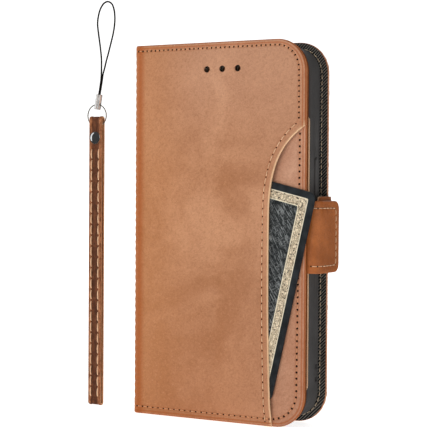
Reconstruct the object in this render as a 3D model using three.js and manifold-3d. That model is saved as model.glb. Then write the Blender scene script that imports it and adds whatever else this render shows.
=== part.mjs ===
// Phone wallet case: a folding leather cover with an outside card pocket, a moulded phone shell,
// a two-part magnetic side clasp and a loose wrist strap.
//
// Case coordinates, in millimetres, used by every function below:
//   X runs from the outside of the spine (SPINE_X) to the fore-edge (WIDTH, BACK_WIDTH),
//   Y runs from the border of the front cover (0) to the outside of the back cover (DEPTH),
//   Z runs up from the edge that the case stands on.
// The last lines move the origin to the middle of the back cover's bottom edge.

import * as THREE from 'three';
import { mergeVertices } from 'three/addons/utils/BufferGeometryUtils.js';
import Module from 'manifold-3d';

const wasm = await Module();
wasm.setup();

// ---------------------------------------------------------------- driving dimensions

const SPINE_X = -0.8;           // outside of the spine
const WIDTH = 79.5;             // fore-edge of the front cover
const BACK_WIDTH = 80.2;        // fore-edge of the back cover
const HEIGHT = 154;
const DEPTH = 20.5;             // front face to back face, closed
const FORE_RADIUS = 13;         // cover corners at the fore-edge
const SPINE_RADIUS = 2;         // cover corners at the spine
const LAYER_GAP = 0.05;         // glue line between stacked sheets
const CLEAR = 0.3;              // clearance between neighbours

const FOLD_RADIUS = 1.4;        // rounded leather fold between a cover and the spine
const FOLD_X = SPINE_X + FOLD_RADIUS;
const FRONT_FOLD_Y = FOLD_RADIUS;
const BACK_FOLD_Y = DEPTH - FOLD_RADIUS;
const INNER_START_X = FOLD_X + FOLD_RADIUS + CLEAR;   // inner sheets start clear of the fold

// front cover, sheet by sheet from the outside in: [outer face, inner face] along Y
const POCKET_BORDER = [0, 0.6];
const POCKET_CROWN = -0.8;                       // outer face where the pocket stands off for a card
const POCKET_SHEET = 0.6;
const CARD_PLANE = [-0.16, 0.6];
const FRONT_LEATHER = [0.65, 1.3];
const FRONT_BOARD = [1.35, 2.95];
const TAB_ROOT_Y = [2.2, 2.95];                  // front tab's root, let into the board
const FRONT_LINING = [3.0, 3.4];
const SLOT_SHEET = 0.35;
const SLOT_PANEL_Z = [14.6, 123.8];
const SLOT_EDGE_X = [9, 18, 27];                 // free edges of the three card slots
const CROWN_INSET = [1, 5.5];                    // the crown rises between these distances from the edge
const CAVITY_INSET = [3.4, 7];                   // and its hollow between these

// spine, from the outside in: depths from its outside
const SPINE_LEATHER = [0, 0.8];
const SPINE_BOARD = [0.85, 1.5];
const SPINE_LINING = [1.55, 1.95];

// back cover, from the inside out
const BACK_LINING = [18.0, 18.4];
const BACK_BOARD = [18.45, 19.6];
const BACK_FACE_THICKNESS = 0.85;
const BACK_RIM_WIDTH = 1;
const BACK_LINING_INSET = 0.2;

// round holes for the earpiece, through the whole front cover
const EAR_HOLE_X = [34.6, 41.8, 49.0];
const EAR_HOLE_Z = 143;
const EAR_HOLE_RADIUS = 1.3;

// phone shell, for a phone of 71.5 x 147 x 7.4
const SHELL_X = [3.3, 77.4];
const SHELL_Z = [2.2, 151.8];
const SHELL_Y = [8.4, 17.9];
const SHELL_RADIUS = 11;
const SHELL_WALL = 1.3;
const SHELL_BACK = 1.1;
const SHELL_LIP = 0.9;
const CAMERA_X = [37.2, 73.2];
const CAMERA_Z = [110.6, 147.6];
const CAMERA_RADIUS = 8;
const CAMERA_MARGIN = 0.6;                       // the leather's cut-out is this much wider all round
const PORT = { x: 40.35, y: 12.9, width: 38, depth: 5 };
const LANYARD = { y: 15.3, z: [18.2, 23.4], width: 1.6, height: 2.2 };
const MUTE = { y: 13.7, z: 126, width: 3.6, height: 11 };

// button covers of the shell
const BUTTON_WIDTH = 2.8;
const BUTTON_PROUD = 0.7;
const BUTTON_Y = 13.7;
const POWER_Z = [89.5, 107];
const VOLUME_UP_Z = [104, 116];
const VOLUME_DOWN_Z = [89, 101];

// magnetic clasp
const CLASP_Z = [61.4, 90];
const CLASP_RADIUS = 3.2;
const FRONT_TAB_FOLD = { x: 83.85, y: 2.95, radius: 0.75 };
const FRONT_TAB_X = [82.9, 84.6];              // inner and outer face of the closed front tab
const FRONT_TAB_TAIL_Y = 20.6;
const REAR_CLASP_Z = [61.9, 91.7];
const REAR_CLASP_RADIUS = 1.4;
const REAR_TAB_FOLD = { x: 81.2, y: 19.25, radius: 0.65 };
const REAR_TAB_X = [80.55, 81.85];
const REAR_TAB_TAIL_Y = 8.2;
const TAB_ROOT_X = 70;                           // how deep both roots reach into the covers
const TAB_LEATHER = 0.5;

// payment-card format of ISO 7810
const CARD_WIDTH = 53.98;
const CARD_LENGTH = 85.6;
const CARD_RADIUS = 3.18;
const CARD_TILT = THREE.MathUtils.degToRad(13.2);
const CARD_TOP_CORNER = [84.5, 92.9];            // its top fore-edge corner, X and Z

// wrist strap, standing beside the spine
const STRAP_X = -26.4;
const STRAP_Y = 9;
const STRAP_WIDTH = 6.7;
const STRAP_TOP = 125.5;
const STRAP_SHEET = 0.85;
const STRAP_GAP = 1;
const RIVET_Z = 116.1;
const RIVET_CAP_RADIUS = 2.8;
const RIVET_POST_RADIUS = 0.8;
const RING_RADIUS = 4.85;
const RING_WIRE = 0.25;
const RING_Z = 125.75;
const CRIMP_LENGTH = 6.55;
const CRIMP_RADIUS = 1.42;
const CRIMP_HOLE_RADIUS = 0.7;
const CRIMP_LEAN = THREE.MathUtils.degToRad(9.3);
const CRIMP_BOTTOM = [-26.3, 128.4];
const CORD_RADIUS = 0.37;

// ---------------------------------------------------------------- solids and booleans

function toSolid(geometry) {
  const plain = geometry.clone();
  plain.deleteAttribute('normal');
  plain.deleteAttribute('uv');
  const merged = mergeVertices(plain, 1e-5);
  return new wasm.Manifold(new wasm.Mesh({
    numProp: 3,
    vertProperties: new Float32Array(merged.attributes.position.array),
    triVerts: new Uint32Array(merged.index.array),
  }));
}

function toGeometry(solid) {
  const mesh = solid.getMesh();
  const geometry = new THREE.BufferGeometry();
  geometry.setAttribute('position', new THREE.BufferAttribute(new Float32Array(mesh.vertProperties), 3));
  geometry.setIndex(new THREE.BufferAttribute(new Uint32Array(mesh.triVerts), 1));
  geometry.computeVertexNormals();
  return geometry;
}

const cut = (solid, ...tools) => tools.reduce((rest, tool) => rest.subtract(tool), solid);
const join = (solid, ...more) => more.reduce((whole, piece) => whole.add(piece), solid);

// A flat sheet: an outline drawn in X and Z, from y0 to y1.
function sheet(outline, [y0, y1], curveSegments = 10) {
  const geometry = new THREE.ExtrudeGeometry(outline, { depth: y1 - y0, bevelEnabled: false, curveSegments });
  geometry.rotateX(Math.PI / 2);
  geometry.translate(0, y1, 0);
  return toSolid(geometry);
}

// A flat sheet that faces along X: an outline drawn in Y and Z, from x0 to x1.
function sideSheet(outline, [x0, x1], curveSegments = 8) {
  const geometry = new THREE.ExtrudeGeometry(outline, { depth: x1 - x0, bevelEnabled: false, curveSegments });
  geometry.rotateX(Math.PI / 2);
  geometry.rotateZ(Math.PI / 2);
  geometry.translate(x0, 0, 0);
  return toSolid(geometry);
}

// An upright prism: an outline drawn in X and Y, from z0 to z1.
function prism(outline, [z0, z1], curveSegments = 10) {
  const geometry = new THREE.ExtrudeGeometry(outline, { depth: z1 - z0, bevelEnabled: false, curveSegments });
  geometry.translate(0, 0, z0);
  return toSolid(geometry);
}

function block([x0, x1], [y0, y1], [z0, z1]) {
  const geometry = new THREE.BoxGeometry(x1 - x0, y1 - y0, z1 - z0);
  geometry.translate((x0 + x1) / 2, (y0 + y1) / 2, (z0 + z1) / 2);
  return toSolid(geometry);
}

function upright(x, y, radius, [z0, z1], sides = 20) {
  const geometry = new THREE.CylinderGeometry(radius, radius, z1 - z0, sides);
  geometry.rotateX(Math.PI / 2);
  geometry.translate(x, y, (z0 + z1) / 2);
  return toSolid(geometry);
}

function alongY(x, z, radius, [y0, y1], sides = 18) {
  const geometry = new THREE.CylinderGeometry(radius, radius, y1 - y0, sides);
  geometry.translate(x, (y0 + y1) / 2, z);
  return toSolid(geometry);
}

// Rectangle from (u0, v0) to (u1, v1) with a radius of its own at each corner:
// low-left, low-right, high-right, high-left.
function rounded([u0, u1], [v0, v1], [r0, r1, r2, r3]) {
  const shape = new THREE.Shape();
  shape.moveTo(u0 + r0, v0);
  shape.lineTo(u1 - r1, v0);
  if (r1) shape.absarc(u1 - r1, v0 + r1, r1, -Math.PI / 2, 0);
  shape.lineTo(u1, v1 - r2);
  if (r2) shape.absarc(u1 - r2, v1 - r2, r2, 0, Math.PI / 2);
  shape.lineTo(u0 + r3, v1);
  if (r3) shape.absarc(u0 + r3, v1 - r3, r3, Math.PI / 2, Math.PI);
  shape.lineTo(u0, v0 + r0);
  if (r0) shape.absarc(u0 + r0, v0 + r0, r0, Math.PI, 1.5 * Math.PI);
  return shape;
}

const roundedAll = (u, v, r) => rounded(u, v, [r, r, r, r]);

// Outline of a cover, moved inwards by inset and starting at startX on the spine side.
function coverOutline(inset, startX, width = WIDTH) {
  const spine = Math.max(SPINE_RADIUS - inset, 0.4);
  const fore = FORE_RADIUS - inset;
  return rounded([startX, width - inset], [inset, HEIGHT - inset], [spine, fore, fore, spine]);
}

const earHoles = () => EAR_HOLE_X.map((x) => alongY(x, EAR_HOLE_Z, EAR_HOLE_RADIUS, [-3, 6]));

const cameraCut = (margin, y) => sheet(roundedAll(
  [CAMERA_X[0] - margin, CAMERA_X[1] + margin],
  [CAMERA_Z[0] - margin, CAMERA_Z[1] + margin],
  CAMERA_RADIUS + margin,
), y);

// ---------------------------------------------------------------- front cover

// Everything right of the pocket's free edge: the hand-cut curve from the fore-edge
// down to the bottom, which leaves a window onto the sheet behind.
function pocketWindow() {
  const shape = new THREE.Shape();
  const out = 20;
  shape.moveTo(WIDTH + out, 119.8);
  shape.lineTo(WIDTH, 119.8);
  shape.bezierCurveTo(71.5, 114.5, 65, 107, 64, 88);
  shape.quadraticCurveTo(62.9, 45, 65.3, -1);
  shape.lineTo(WIDTH + out, -1);
  return shape;
}

// A shallow dome with flat faces: it narrows by the difference of the two insets from yWide to yNarrow.
function pocketDome([insetWide, insetNarrow], yWide, yNarrow) {
  const skin = 0.01;
  return wasm.Manifold.hull([
    sheet(coverOutline(insetWide, FOLD_X + insetWide), [yWide - skin, yWide]),
    sheet(coverOutline(insetNarrow, FOLD_X + insetNarrow), [yNarrow, yNarrow + skin]),
  ]);
}

function frontPocketPanel() {
  const border = sheet(coverOutline(0, FOLD_X), POCKET_BORDER);
  const crown = pocketDome(CROWN_INSET, POCKET_BORDER[0] + 0.02, POCKET_CROWN);
  const cavity = pocketDome(CAVITY_INSET, POCKET_BORDER[1] + 0.02, POCKET_CROWN + POCKET_SHEET);
  const window = sheet(pocketWindow(), [-3, 4], 16);
  const fold = upright(FOLD_X, FRONT_FOLD_Y, FOLD_RADIUS, [0, HEIGHT]);
  return join(cut(join(border, crown), cavity, window, ...earHoles()), fold);
}

const frontLeather = () => cut(sheet(coverOutline(0, INNER_START_X), FRONT_LEATHER), ...earHoles());

function frontBoard() {
  const notch = block(
    [TAB_ROOT_X - CLEAR, WIDTH + 5],
    [TAB_ROOT_Y[0] - LAYER_GAP, 4],
    [CLASP_Z[0] - CLEAR, CLASP_Z[1] + CLEAR],
  );
  return cut(sheet(coverOutline(1.2, INNER_START_X + 1), FRONT_BOARD), notch, ...earHoles());
}

const frontLining = () => cut(sheet(coverOutline(0.3, INNER_START_X), FRONT_LINING), ...earHoles());

// Card slots open towards the spine, one step behind the next.
function cardSlotPanel(index) {
  const y0 = FRONT_LINING[1] + LAYER_GAP + index * (SLOT_SHEET + LAYER_GAP);
  const outline = rounded([SLOT_EDGE_X[index], WIDTH - 0.3], SLOT_PANEL_Z, [1.5, 2, 2, 1.5]);
  return sheet(outline, [y0, y0 + SLOT_SHEET], 4);
}

// ---------------------------------------------------------------- spine

// A sheet of the spine between its two folds, at depths in0 to in1 and pulled in by inset at each end.
function spineSheet([in0, in1], inset) {
  const end = FOLD_RADIUS + 0.15 + inset;
  const y = [FRONT_FOLD_Y + end, BACK_FOLD_Y - end];
  return block([SPINE_X + in0, SPINE_X + in1], y, [inset, HEIGHT - inset]);
}

// ---------------------------------------------------------------- back cover

// A shallow tray of leather: its turned rim wraps the edge of the board, and the lining covers both.
function backLeather() {
  const face = [DEPTH - BACK_FACE_THICKNESS, DEPTH];
  const below = BACK_BOARD[0] - 1;
  const tray = sheet(coverOutline(0, FOLD_X, BACK_WIDTH), [BACK_BOARD[0], DEPTH]);
  const hollow = sheet(coverOutline(BACK_RIM_WIDTH, INNER_START_X, BACK_WIDTH), [below, face[0]]);
  const atFold = block([SPINE_X - 1, INNER_START_X + 2], [below, face[0]], [-1, HEIGHT + 1]);
  const fold = upright(FOLD_X, BACK_FOLD_Y, FOLD_RADIUS, [0, HEIGHT]);
  const tabSlot = block([BACK_WIDTH - 3, BACK_WIDTH + 3], [below, face[0] - 0.15], rearRootGap());
  return join(cut(tray, hollow, atFold, tabSlot, cameraCut(CAMERA_MARGIN, [10, 30])), fold);
}

const rearRootGap = () => [REAR_CLASP_Z[0] - CLEAR, REAR_CLASP_Z[1] + CLEAR];

function backBoard() {
  const outline = coverOutline(BACK_RIM_WIDTH + CLEAR, INNER_START_X + CLEAR, BACK_WIDTH);
  const notch = block([TAB_ROOT_X - CLEAR, BACK_WIDTH + 5], [10, 30], rearRootGap());
  return cut(sheet(outline, BACK_BOARD), notch, cameraCut(CAMERA_MARGIN + 0.8, [10, 30]));
}

function backLining() {
  const outline = coverOutline(BACK_LINING_INSET, INNER_START_X + CLEAR, BACK_WIDTH);
  return cut(sheet(outline, BACK_LINING), cameraCut(CAMERA_MARGIN + 0.3, [10, 30]));
}

// ---------------------------------------------------------------- phone shell

// A window through a side wall for one button cover.
function buttonWindow(side, z) {
  const reach = side > 0 ? [SHELL_X[1] - 4, SHELL_X[1] + 2] : [SHELL_X[0] - 2, SHELL_X[0] + 4];
  const half = BUTTON_WIDTH / 2 + CLEAR;
  const outline = roundedAll([BUTTON_Y - half, BUTTON_Y + half], [z[0] - CLEAR, z[1] + CLEAR], half - 0.01);
  return sideSheet(outline, reach);
}

function phoneShell() {
  const wall = SHELL_WALL;
  const body = sheet(roundedAll(SHELL_X, SHELL_Z, SHELL_RADIUS), SHELL_Y);
  const bay = sheet(roundedAll(
    [SHELL_X[0] + wall, SHELL_X[1] - wall],
    [SHELL_Z[0] + wall, SHELL_Z[1] - wall],
    SHELL_RADIUS - wall,
  ), [SHELL_Y[0] + SHELL_LIP, SHELL_Y[1] - SHELL_BACK]);
  const mouth = sheet(roundedAll(
    [SHELL_X[0] + wall + 1, SHELL_X[1] - wall - 1],
    [SHELL_Z[0] + wall + 1, SHELL_Z[1] - wall - 1],
    SHELL_RADIUS - wall - 1,
  ), [SHELL_Y[0] - 1, SHELL_Y[0] + SHELL_LIP + 0.5]);
  const port = prism(roundedAll(
    [PORT.x - PORT.width / 2, PORT.x + PORT.width / 2],
    [PORT.y - PORT.depth / 2, PORT.y + PORT.depth / 2],
    PORT.depth / 2 - 0.01,
  ), [0, SHELL_Z[0] + wall + 2], 6);
  const lanyard = LANYARD.z.map((z) => sideSheet(roundedAll(
    [LANYARD.y - LANYARD.width / 2, LANYARD.y + LANYARD.width / 2],
    [z - LANYARD.height / 2, z + LANYARD.height / 2],
    0.5,
  ), [SHELL_X[1] - 4, SHELL_X[1] + 2], 3));
  const mute = sideSheet(roundedAll(
    [MUTE.y - MUTE.width / 2, MUTE.y + MUTE.width / 2],
    [MUTE.z - MUTE.height / 2, MUTE.z + MUTE.height / 2],
    MUTE.width / 2 - 0.01,
  ), [SHELL_X[0] - 2, SHELL_X[0] + 4], 5);
  const windows = [buttonWindow(1, POWER_Z), buttonWindow(-1, VOLUME_UP_Z), buttonWindow(-1, VOLUME_DOWN_Z)];
  return cut(body, bay, mouth, cameraCut(0, [10, 30]), port, ...lanyard, mute, ...windows);
}

// A button cover fills its window and stands proud of the shell's side.
function buttonCover(side, [z0, z1]) {
  const half = BUTTON_WIDTH / 2;
  const outline = roundedAll([BUTTON_Y - half, BUTTON_Y + half], [z0, z1], half - 0.01);
  const reach = side > 0
    ? [SHELL_X[1] - SHELL_WALL + 0.2, SHELL_X[1] + BUTTON_PROUD]
    : [SHELL_X[0] - BUTTON_PROUD, SHELL_X[0] + SHELL_WALL - 0.2];
  return sideSheet(outline, reach, 6);
}

// ---------------------------------------------------------------- magnetic clasp

// Root strip of the front tab: held between the front leather and its lining, rounded at the fold.
function frontTabRoot() {
  const { x, y, radius } = FRONT_TAB_FOLD;
  const strip = block([TAB_ROOT_X, x], TAB_ROOT_Y, CLASP_Z);
  return join(strip, upright(x, y, radius, CLASP_Z, 12));
}

// One sheet of the front tab, closed: it lies along the side and its tail corners are round.
function frontTabSheet(x) {
  const start = FRONT_TAB_FOLD.y + FRONT_TAB_FOLD.radius + 0.15;
  const r = CLASP_RADIUS;
  return sideSheet(rounded([start, FRONT_TAB_TAIL_Y], CLASP_Z, [0, r, r, 0]), x);
}

function rearTabRoot() {
  const { x, y, radius } = REAR_TAB_FOLD;
  const strip = block([TAB_ROOT_X, x], [y - radius, y], REAR_CLASP_Z);
  return join(strip, upright(x, y, radius, REAR_CLASP_Z, 12));
}

function rearTabSheet(x) {
  const end = REAR_TAB_FOLD.y - REAR_TAB_FOLD.radius - 0.15;
  const r = REAR_CLASP_RADIUS;
  return sideSheet(rounded([REAR_TAB_TAIL_Y, end], REAR_CLASP_Z, [r, 0, 0, r]), x);
}

// A flat magnet or keeper plate inside a tab.
function tabPlate(x, y, zRange) {
  const edge = 4.5;
  return sideSheet(roundedAll(y, [zRange[0] + edge, zRange[1] - edge], 1), x, 4);
}

// ---------------------------------------------------------------- card

// The card stands in the pocket, turned about its top fore-edge corner.
function pocketCard() {
  const outline = roundedAll([-CARD_WIDTH, 0], [-CARD_LENGTH, 0], CARD_RADIUS);
  const geometry = new THREE.ExtrudeGeometry(outline, {
    depth: CARD_PLANE[1] - CARD_PLANE[0], bevelEnabled: false, curveSegments: 6,
  });
  geometry.rotateX(Math.PI / 2);
  geometry.rotateY(CARD_TILT);
  geometry.translate(CARD_TOP_CORNER[0], CARD_PLANE[1], CARD_TOP_CORNER[1]);
  return toSolid(geometry);
}

// ---------------------------------------------------------------- wrist strap

// One long band folded into a flat loop, seen from its side and pushed out across its width.
function strapBand() {
  const half = STRAP_SHEET + STRAP_GAP / 2;
  const outer = roundedAll([STRAP_Y - half, STRAP_Y + half], [0, STRAP_TOP], half - 0.01);
  const inner = roundedAll(
    [STRAP_Y - STRAP_GAP / 2, STRAP_Y + STRAP_GAP / 2],
    [STRAP_SHEET, STRAP_TOP - STRAP_SHEET],
    STRAP_GAP / 2 - 0.01,
  );
  const x = [STRAP_X - STRAP_WIDTH / 2, STRAP_X + STRAP_WIDTH / 2];
  const loop = cut(sideSheet(outer, x, 6), sideSheet(inner, [x[0] - 1, x[1] + 1], 6));
  return cut(loop, alongY(STRAP_X, RIVET_Z, RIVET_POST_RADIUS + CLEAR, [STRAP_Y - 5, STRAP_Y + 5], 12));
}

// Post through both layers, with a domed cap in front and a flatter one behind.
function strapRivet() {
  const half = STRAP_SHEET + STRAP_GAP / 2 + LAYER_GAP;
  const cap = RIVET_CAP_RADIUS;
  const profile = [
    [0, -half - 1.1], [cap * 0.45, -half - 1], [cap * 0.8, -half - 0.7], [cap, -half - 0.25], [cap, -half],
    [RIVET_POST_RADIUS, -half], [RIVET_POST_RADIUS, half],
    [cap * 0.9, half], [cap * 0.9, half + 0.3], [cap * 0.6, half + 0.7], [0, half + 0.8],
  ];
  const points = profile.map(([r, y]) => new THREE.Vector2(r, y));
  const geometry = new THREE.LatheGeometry(points, 24);
  geometry.translate(STRAP_X, STRAP_Y, RIVET_Z);
  return toSolid(geometry);
}

function strapRing() {
  const geometry = new THREE.TorusGeometry(RING_RADIUS, RING_WIRE, 8, 32);
  geometry.rotateX(Math.PI / 2);
  geometry.translate(STRAP_X, STRAP_Y, RING_Z);
  return toSolid(geometry);
}

// Crimped tube that closes the cord's ends, with a hole across it for the ring.
function cordCrimp() {
  const barrel = new THREE.CylinderGeometry(CRIMP_RADIUS, CRIMP_RADIUS, CRIMP_LENGTH, 16);
  barrel.rotateX(Math.PI / 2);
  barrel.translate(0, 0, CRIMP_LENGTH / 2);
  barrel.rotateY(CRIMP_LEAN);
  barrel.translate(CRIMP_BOTTOM[0], STRAP_Y, CRIMP_BOTTOM[1]);
  const hole = new THREE.CylinderGeometry(CRIMP_HOLE_RADIUS, CRIMP_HOLE_RADIUS, 8, 10);
  hole.rotateZ(Math.PI / 2);
  hole.translate(CRIMP_BOTTOM[0], STRAP_Y, RING_Z + RING_RADIUS - 0.15);
  return cut(toSolid(barrel), toSolid(hole));
}

// The cord leaves the crimp, runs up as one open loop and comes back beside its start.
const CORD_ROUTE = [
  [-25.15, 8.6, 135.2], [-24.75, 8.6, 137.3], [-24.4, 8.6, 139.4], [-24.1, 8.6, 141.4], [-24, 8.65, 143.6],
  [-24.1, 8.85, 146.1], [-24.2, 9, 149.6], [-24.5, 9, 152.8], [-25.2, 9, 157.5],
  [-25.9, 9, 161.7], [-26.35, 9, 165.5],
  [-25.9, 9, 169], [-24.8, 9, 172], [-23.1, 9, 174.1], [-21.1, 9, 174.8],
  [-19, 9, 173.8], [-17.8, 9, 171.4], [-17.3, 9, 168],
  [-17.45, 9, 164.6], [-18.1, 9, 161], [-19.3, 9, 156.8], [-20.5, 9, 152.8],
  [-21.8, 9.05, 148.9], [-22.7, 9.2, 146.1],
  [-23.6, 9.35, 143.6], [-24, 9.4, 141.4], [-24.35, 9.4, 139.4], [-24.75, 9.4, 137.3], [-25.15, 9.4, 135.2],
];

function cordLoop() {
  const points = CORD_ROUTE.map((point) => new THREE.Vector3(...point));
  const path = new THREE.CatmullRomCurve3(points, false, 'centripetal');
  const section = new THREE.Shape();
  section.absarc(0, 0, CORD_RADIUS, 0, 2 * Math.PI);
  const geometry = new THREE.ExtrudeGeometry(section, { steps: 84, curveSegments: 8, extrudePath: path });
  return toSolid(geometry);
}

// ---------------------------------------------------------------- the case

const wallet = new THREE.Group();
wallet.name = 'phone_wallet_case';

const FINISH = {
  leather: { color: 0xb97a4a, roughness: 0.55, metalness: 0 },
  underleather: { color: 0xb07044, roughness: 0.6, metalness: 0 },
  board: { color: 0x8c8173, roughness: 0.9, metalness: 0 },
  lining: { color: 0x242425, roughness: 0.85, metalness: 0 },
  shell: { color: 0x3a3a3b, roughness: 0.6, metalness: 0 },
  metal: { color: 0xc9cbce, roughness: 0.2, metalness: 1 },
  magnet: { color: 0x6f7175, roughness: 0.4, metalness: 1 },
  card: { color: 0x26282a, roughness: 0.5, metalness: 0 },
  strap: { color: 0x8a5632, roughness: 0.5, metalness: 0 },
  cord: { color: 0x141414, roughness: 0.6, metalness: 0 },
};

function add(name, solid, finish) {
  const mesh = new THREE.Mesh(toGeometry(solid), new THREE.MeshStandardMaterial(FINISH[finish]));
  mesh.name = name;
  wallet.add(mesh);
}

add('front_pocket_panel', frontPocketPanel(), 'leather');
add('front_cover_leather', frontLeather(), 'underleather');
add('front_cover_board', frontBoard(), 'board');
add('front_cover_lining', frontLining(), 'leather');
SLOT_EDGE_X.forEach((edge, index) => add(`card_slot_panel_${index + 1}`, cardSlotPanel(index), 'leather'));

add('spine_leather', spineSheet(SPINE_LEATHER, 0), 'leather');
add('spine_board', spineSheet(SPINE_BOARD, 1), 'board');
add('spine_lining', spineSheet(SPINE_LINING, 0.4), 'lining');

add('back_cover_leather', backLeather(), 'leather');
add('back_cover_board', backBoard(), 'board');
add('back_cover_lining', backLining(), 'lining');

add('phone_shell', phoneShell(), 'shell');
add('power_button_cover', buttonCover(1, POWER_Z), 'shell');
add('volume_up_cover', buttonCover(-1, VOLUME_UP_Z), 'shell');
add('volume_down_cover', buttonCover(-1, VOLUME_DOWN_Z), 'shell');

add('front_tab_root', frontTabRoot(), 'leather');
add('front_tab_face', frontTabSheet([FRONT_TAB_X[1] - TAB_LEATHER, FRONT_TAB_X[1]]), 'leather');
add('front_tab_magnet', tabPlate([FRONT_TAB_X[0] + 0.6, FRONT_TAB_X[1] - 0.6], [6.6, 18], CLASP_Z), 'magnet');
add('front_tab_backing', frontTabSheet([FRONT_TAB_X[0], FRONT_TAB_X[0] + TAB_LEATHER]), 'leather');

add('rear_tab_root', rearTabRoot(), 'leather');
add('rear_tab_face', rearTabSheet([REAR_TAB_X[1] - TAB_LEATHER, REAR_TAB_X[1]]), 'leather');
const rearPlateX = [REAR_TAB_X[0] + 0.45, REAR_TAB_X[1] - 0.55];
add('rear_tab_plate', tabPlate(rearPlateX, [9.5, 16.5], REAR_CLASP_Z), 'magnet');
add('rear_tab_backing', rearTabSheet([REAR_TAB_X[0], REAR_TAB_X[0] + 0.4]), 'leather');

add('pocket_card', pocketCard(), 'card');

add('wrist_strap_band', strapBand(), 'strap');
add('wrist_strap_rivet', strapRivet(), 'metal');
add('wrist_strap_ring', strapRing(), 'metal');
add('cord_crimp', cordCrimp(), 'metal');
add('cord_loop', cordLoop(), 'cord');

// Origin: middle of the back cover's bottom edge.
wallet.position.set(-(SPINE_X + BACK_WIDTH) / 2, -(BACK_LINING[0] + DEPTH) / 2, 0);

export default wallet;
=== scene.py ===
"""Looks of a phone wallet case: folding leather cover with an outside card pocket, phone shell,
magnetic side clasp and a loose wrist strap with a cord loop.

Case coordinates, in millimetres: X runs from the outside of the spine (SPINE_X) to the fore-edge,
Y from the border of the front cover (0) to the outside of the back cover, Z up. ORIGIN is where
the frame's origin lies in them.
"""

import math

import bpy
import numpy as np
from mathutils import Matrix, Vector
from mathutils.geometry import delaunay_2d_cdt


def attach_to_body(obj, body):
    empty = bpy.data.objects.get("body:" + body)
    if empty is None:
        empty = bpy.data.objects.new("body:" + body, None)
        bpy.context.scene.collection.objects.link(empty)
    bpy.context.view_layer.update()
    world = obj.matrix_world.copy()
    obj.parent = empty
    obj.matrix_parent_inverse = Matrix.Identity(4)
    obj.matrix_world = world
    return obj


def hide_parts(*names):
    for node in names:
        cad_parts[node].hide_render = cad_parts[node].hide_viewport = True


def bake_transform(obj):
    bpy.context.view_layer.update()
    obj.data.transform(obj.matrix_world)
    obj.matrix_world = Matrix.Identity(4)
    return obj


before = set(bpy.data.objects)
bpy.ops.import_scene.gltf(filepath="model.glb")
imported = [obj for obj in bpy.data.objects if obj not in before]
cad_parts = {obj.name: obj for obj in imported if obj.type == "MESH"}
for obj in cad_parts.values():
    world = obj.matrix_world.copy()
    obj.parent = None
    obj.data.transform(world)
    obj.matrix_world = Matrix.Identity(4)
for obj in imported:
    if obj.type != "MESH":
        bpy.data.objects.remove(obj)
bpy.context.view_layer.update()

MM = 0.001
ORIGIN = np.array([39.7, 19.25, 0.0])

SPINE_X, WIDTH, BACK_WIDTH = -0.8, 79.5, 80.2
HEIGHT, DEPTH = 154.0, 20.5
FORE_RADIUS = 13.0
FOLD = 1.4                                  # radius of the leather round each fold
FOLD_X = SPINE_X + FOLD
INNER_START_X = FOLD_X + FOLD + 0.3
MID_SPINE = DEPTH / 2
ARC = FOLD * math.pi / 2
U_MID = FOLD_X - ARC - (MID_SPINE - FOLD)   # unrolled coordinate of the middle of the spine


def to_frame(points):
    return (np.asarray(points, float) - ORIGIN) * MM


# ---------------------------------------------------------------- camera

CAMERA_AT = (335.06, -500.86, 96.29)
CAMERA_AZIMUTH, CAMERA_TILT, CAMERA_ROLL = (math.radians(a) for a in (30.674, 1.166, 0.356))
CAMERA_LENS = 120.89


def make_camera():
    data = bpy.data.cameras.new("camera")
    data.lens, data.sensor_width = CAMERA_LENS, 36.0
    data.clip_start, data.clip_end = 0.01, 50.0
    ca, sa = math.cos(CAMERA_AZIMUTH), math.sin(CAMERA_AZIMUTH)
    ct, st = math.cos(CAMERA_TILT), math.sin(CAMERA_TILT)
    forward = Vector((-sa * ct, ca * ct, -st))
    right = Vector((ca, sa, 0))
    up = right.cross(forward)
    cr, sr = math.cos(CAMERA_ROLL), math.sin(CAMERA_ROLL)
    right, up = right * cr + up * sr, up * cr - right * sr
    camera = bpy.data.objects.new("camera", data)
    turn = Matrix((right, up, -forward)).transposed().to_4x4()
    camera.matrix_world = Matrix.Translation(to_frame(CAMERA_AT)) @ turn
    bpy.context.scene.collection.objects.link(camera)
    bpy.context.scene.camera = camera


make_camera()


# ---------------------------------------------------------------- lines in the plane

FAR = 1e9                                   # farther than anything here
CHUNK = 64                                  # how many segments or points are compared at once


def resample(path, step, closed=False):
    """The polyline with points a step apart, as near as fits a whole number of steps."""
    p = np.asarray(path, float)
    if closed:
        p = np.vstack([p, p[:1]])
    along = np.concatenate([[0], np.cumsum(np.linalg.norm(np.diff(p, axis=0), axis=1))])
    count = max(2, int(round(along[-1] / step)) + 1)
    t = np.linspace(0, along[-1], count)
    out = np.stack([np.interp(t, along, p[:, k]) for k in range(p.shape[1])], 1)
    return out[:-1] if closed else out


def length_of(path):
    return float(np.linalg.norm(np.diff(np.asarray(path, float), axis=0), axis=1).sum())


def arc(cx, cz, r, a0, a1, n=14):
    a = np.radians(np.linspace(a0, a1, n))
    return np.stack([cx + r * np.cos(a), cz + r * np.sin(a)], 1)


def rounded(u, v, radii, n=14):
    """Anticlockwise rectangle with its own radius at low-left, low-right, high-right, high-left."""
    r0, r1, r2, r3 = radii
    return np.vstack([
        arc(u[0] + r0, v[0] + r0, r0, 180, 270, n), arc(u[1] - r1, v[0] + r1, r1, 270, 360, n),
        arc(u[1] - r2, v[1] - r2, r2, 0, 90, n), arc(u[0] + r3, v[1] - r3, r3, 90, 180, n)])


def cover_outline(inset, start, width=WIDTH, corner=0.4, n=20):
    """Outline of a cover with round fore-edge corners, from start at the spine side."""
    return rounded((start, width - inset), (inset, HEIGHT - inset),
                   (corner, FORE_RADIUS - inset, FORE_RADIUS - inset, corner), n)


def unit(v):
    return v / np.maximum(np.linalg.norm(v, axis=1), 1e-9)[:, None]


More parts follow.
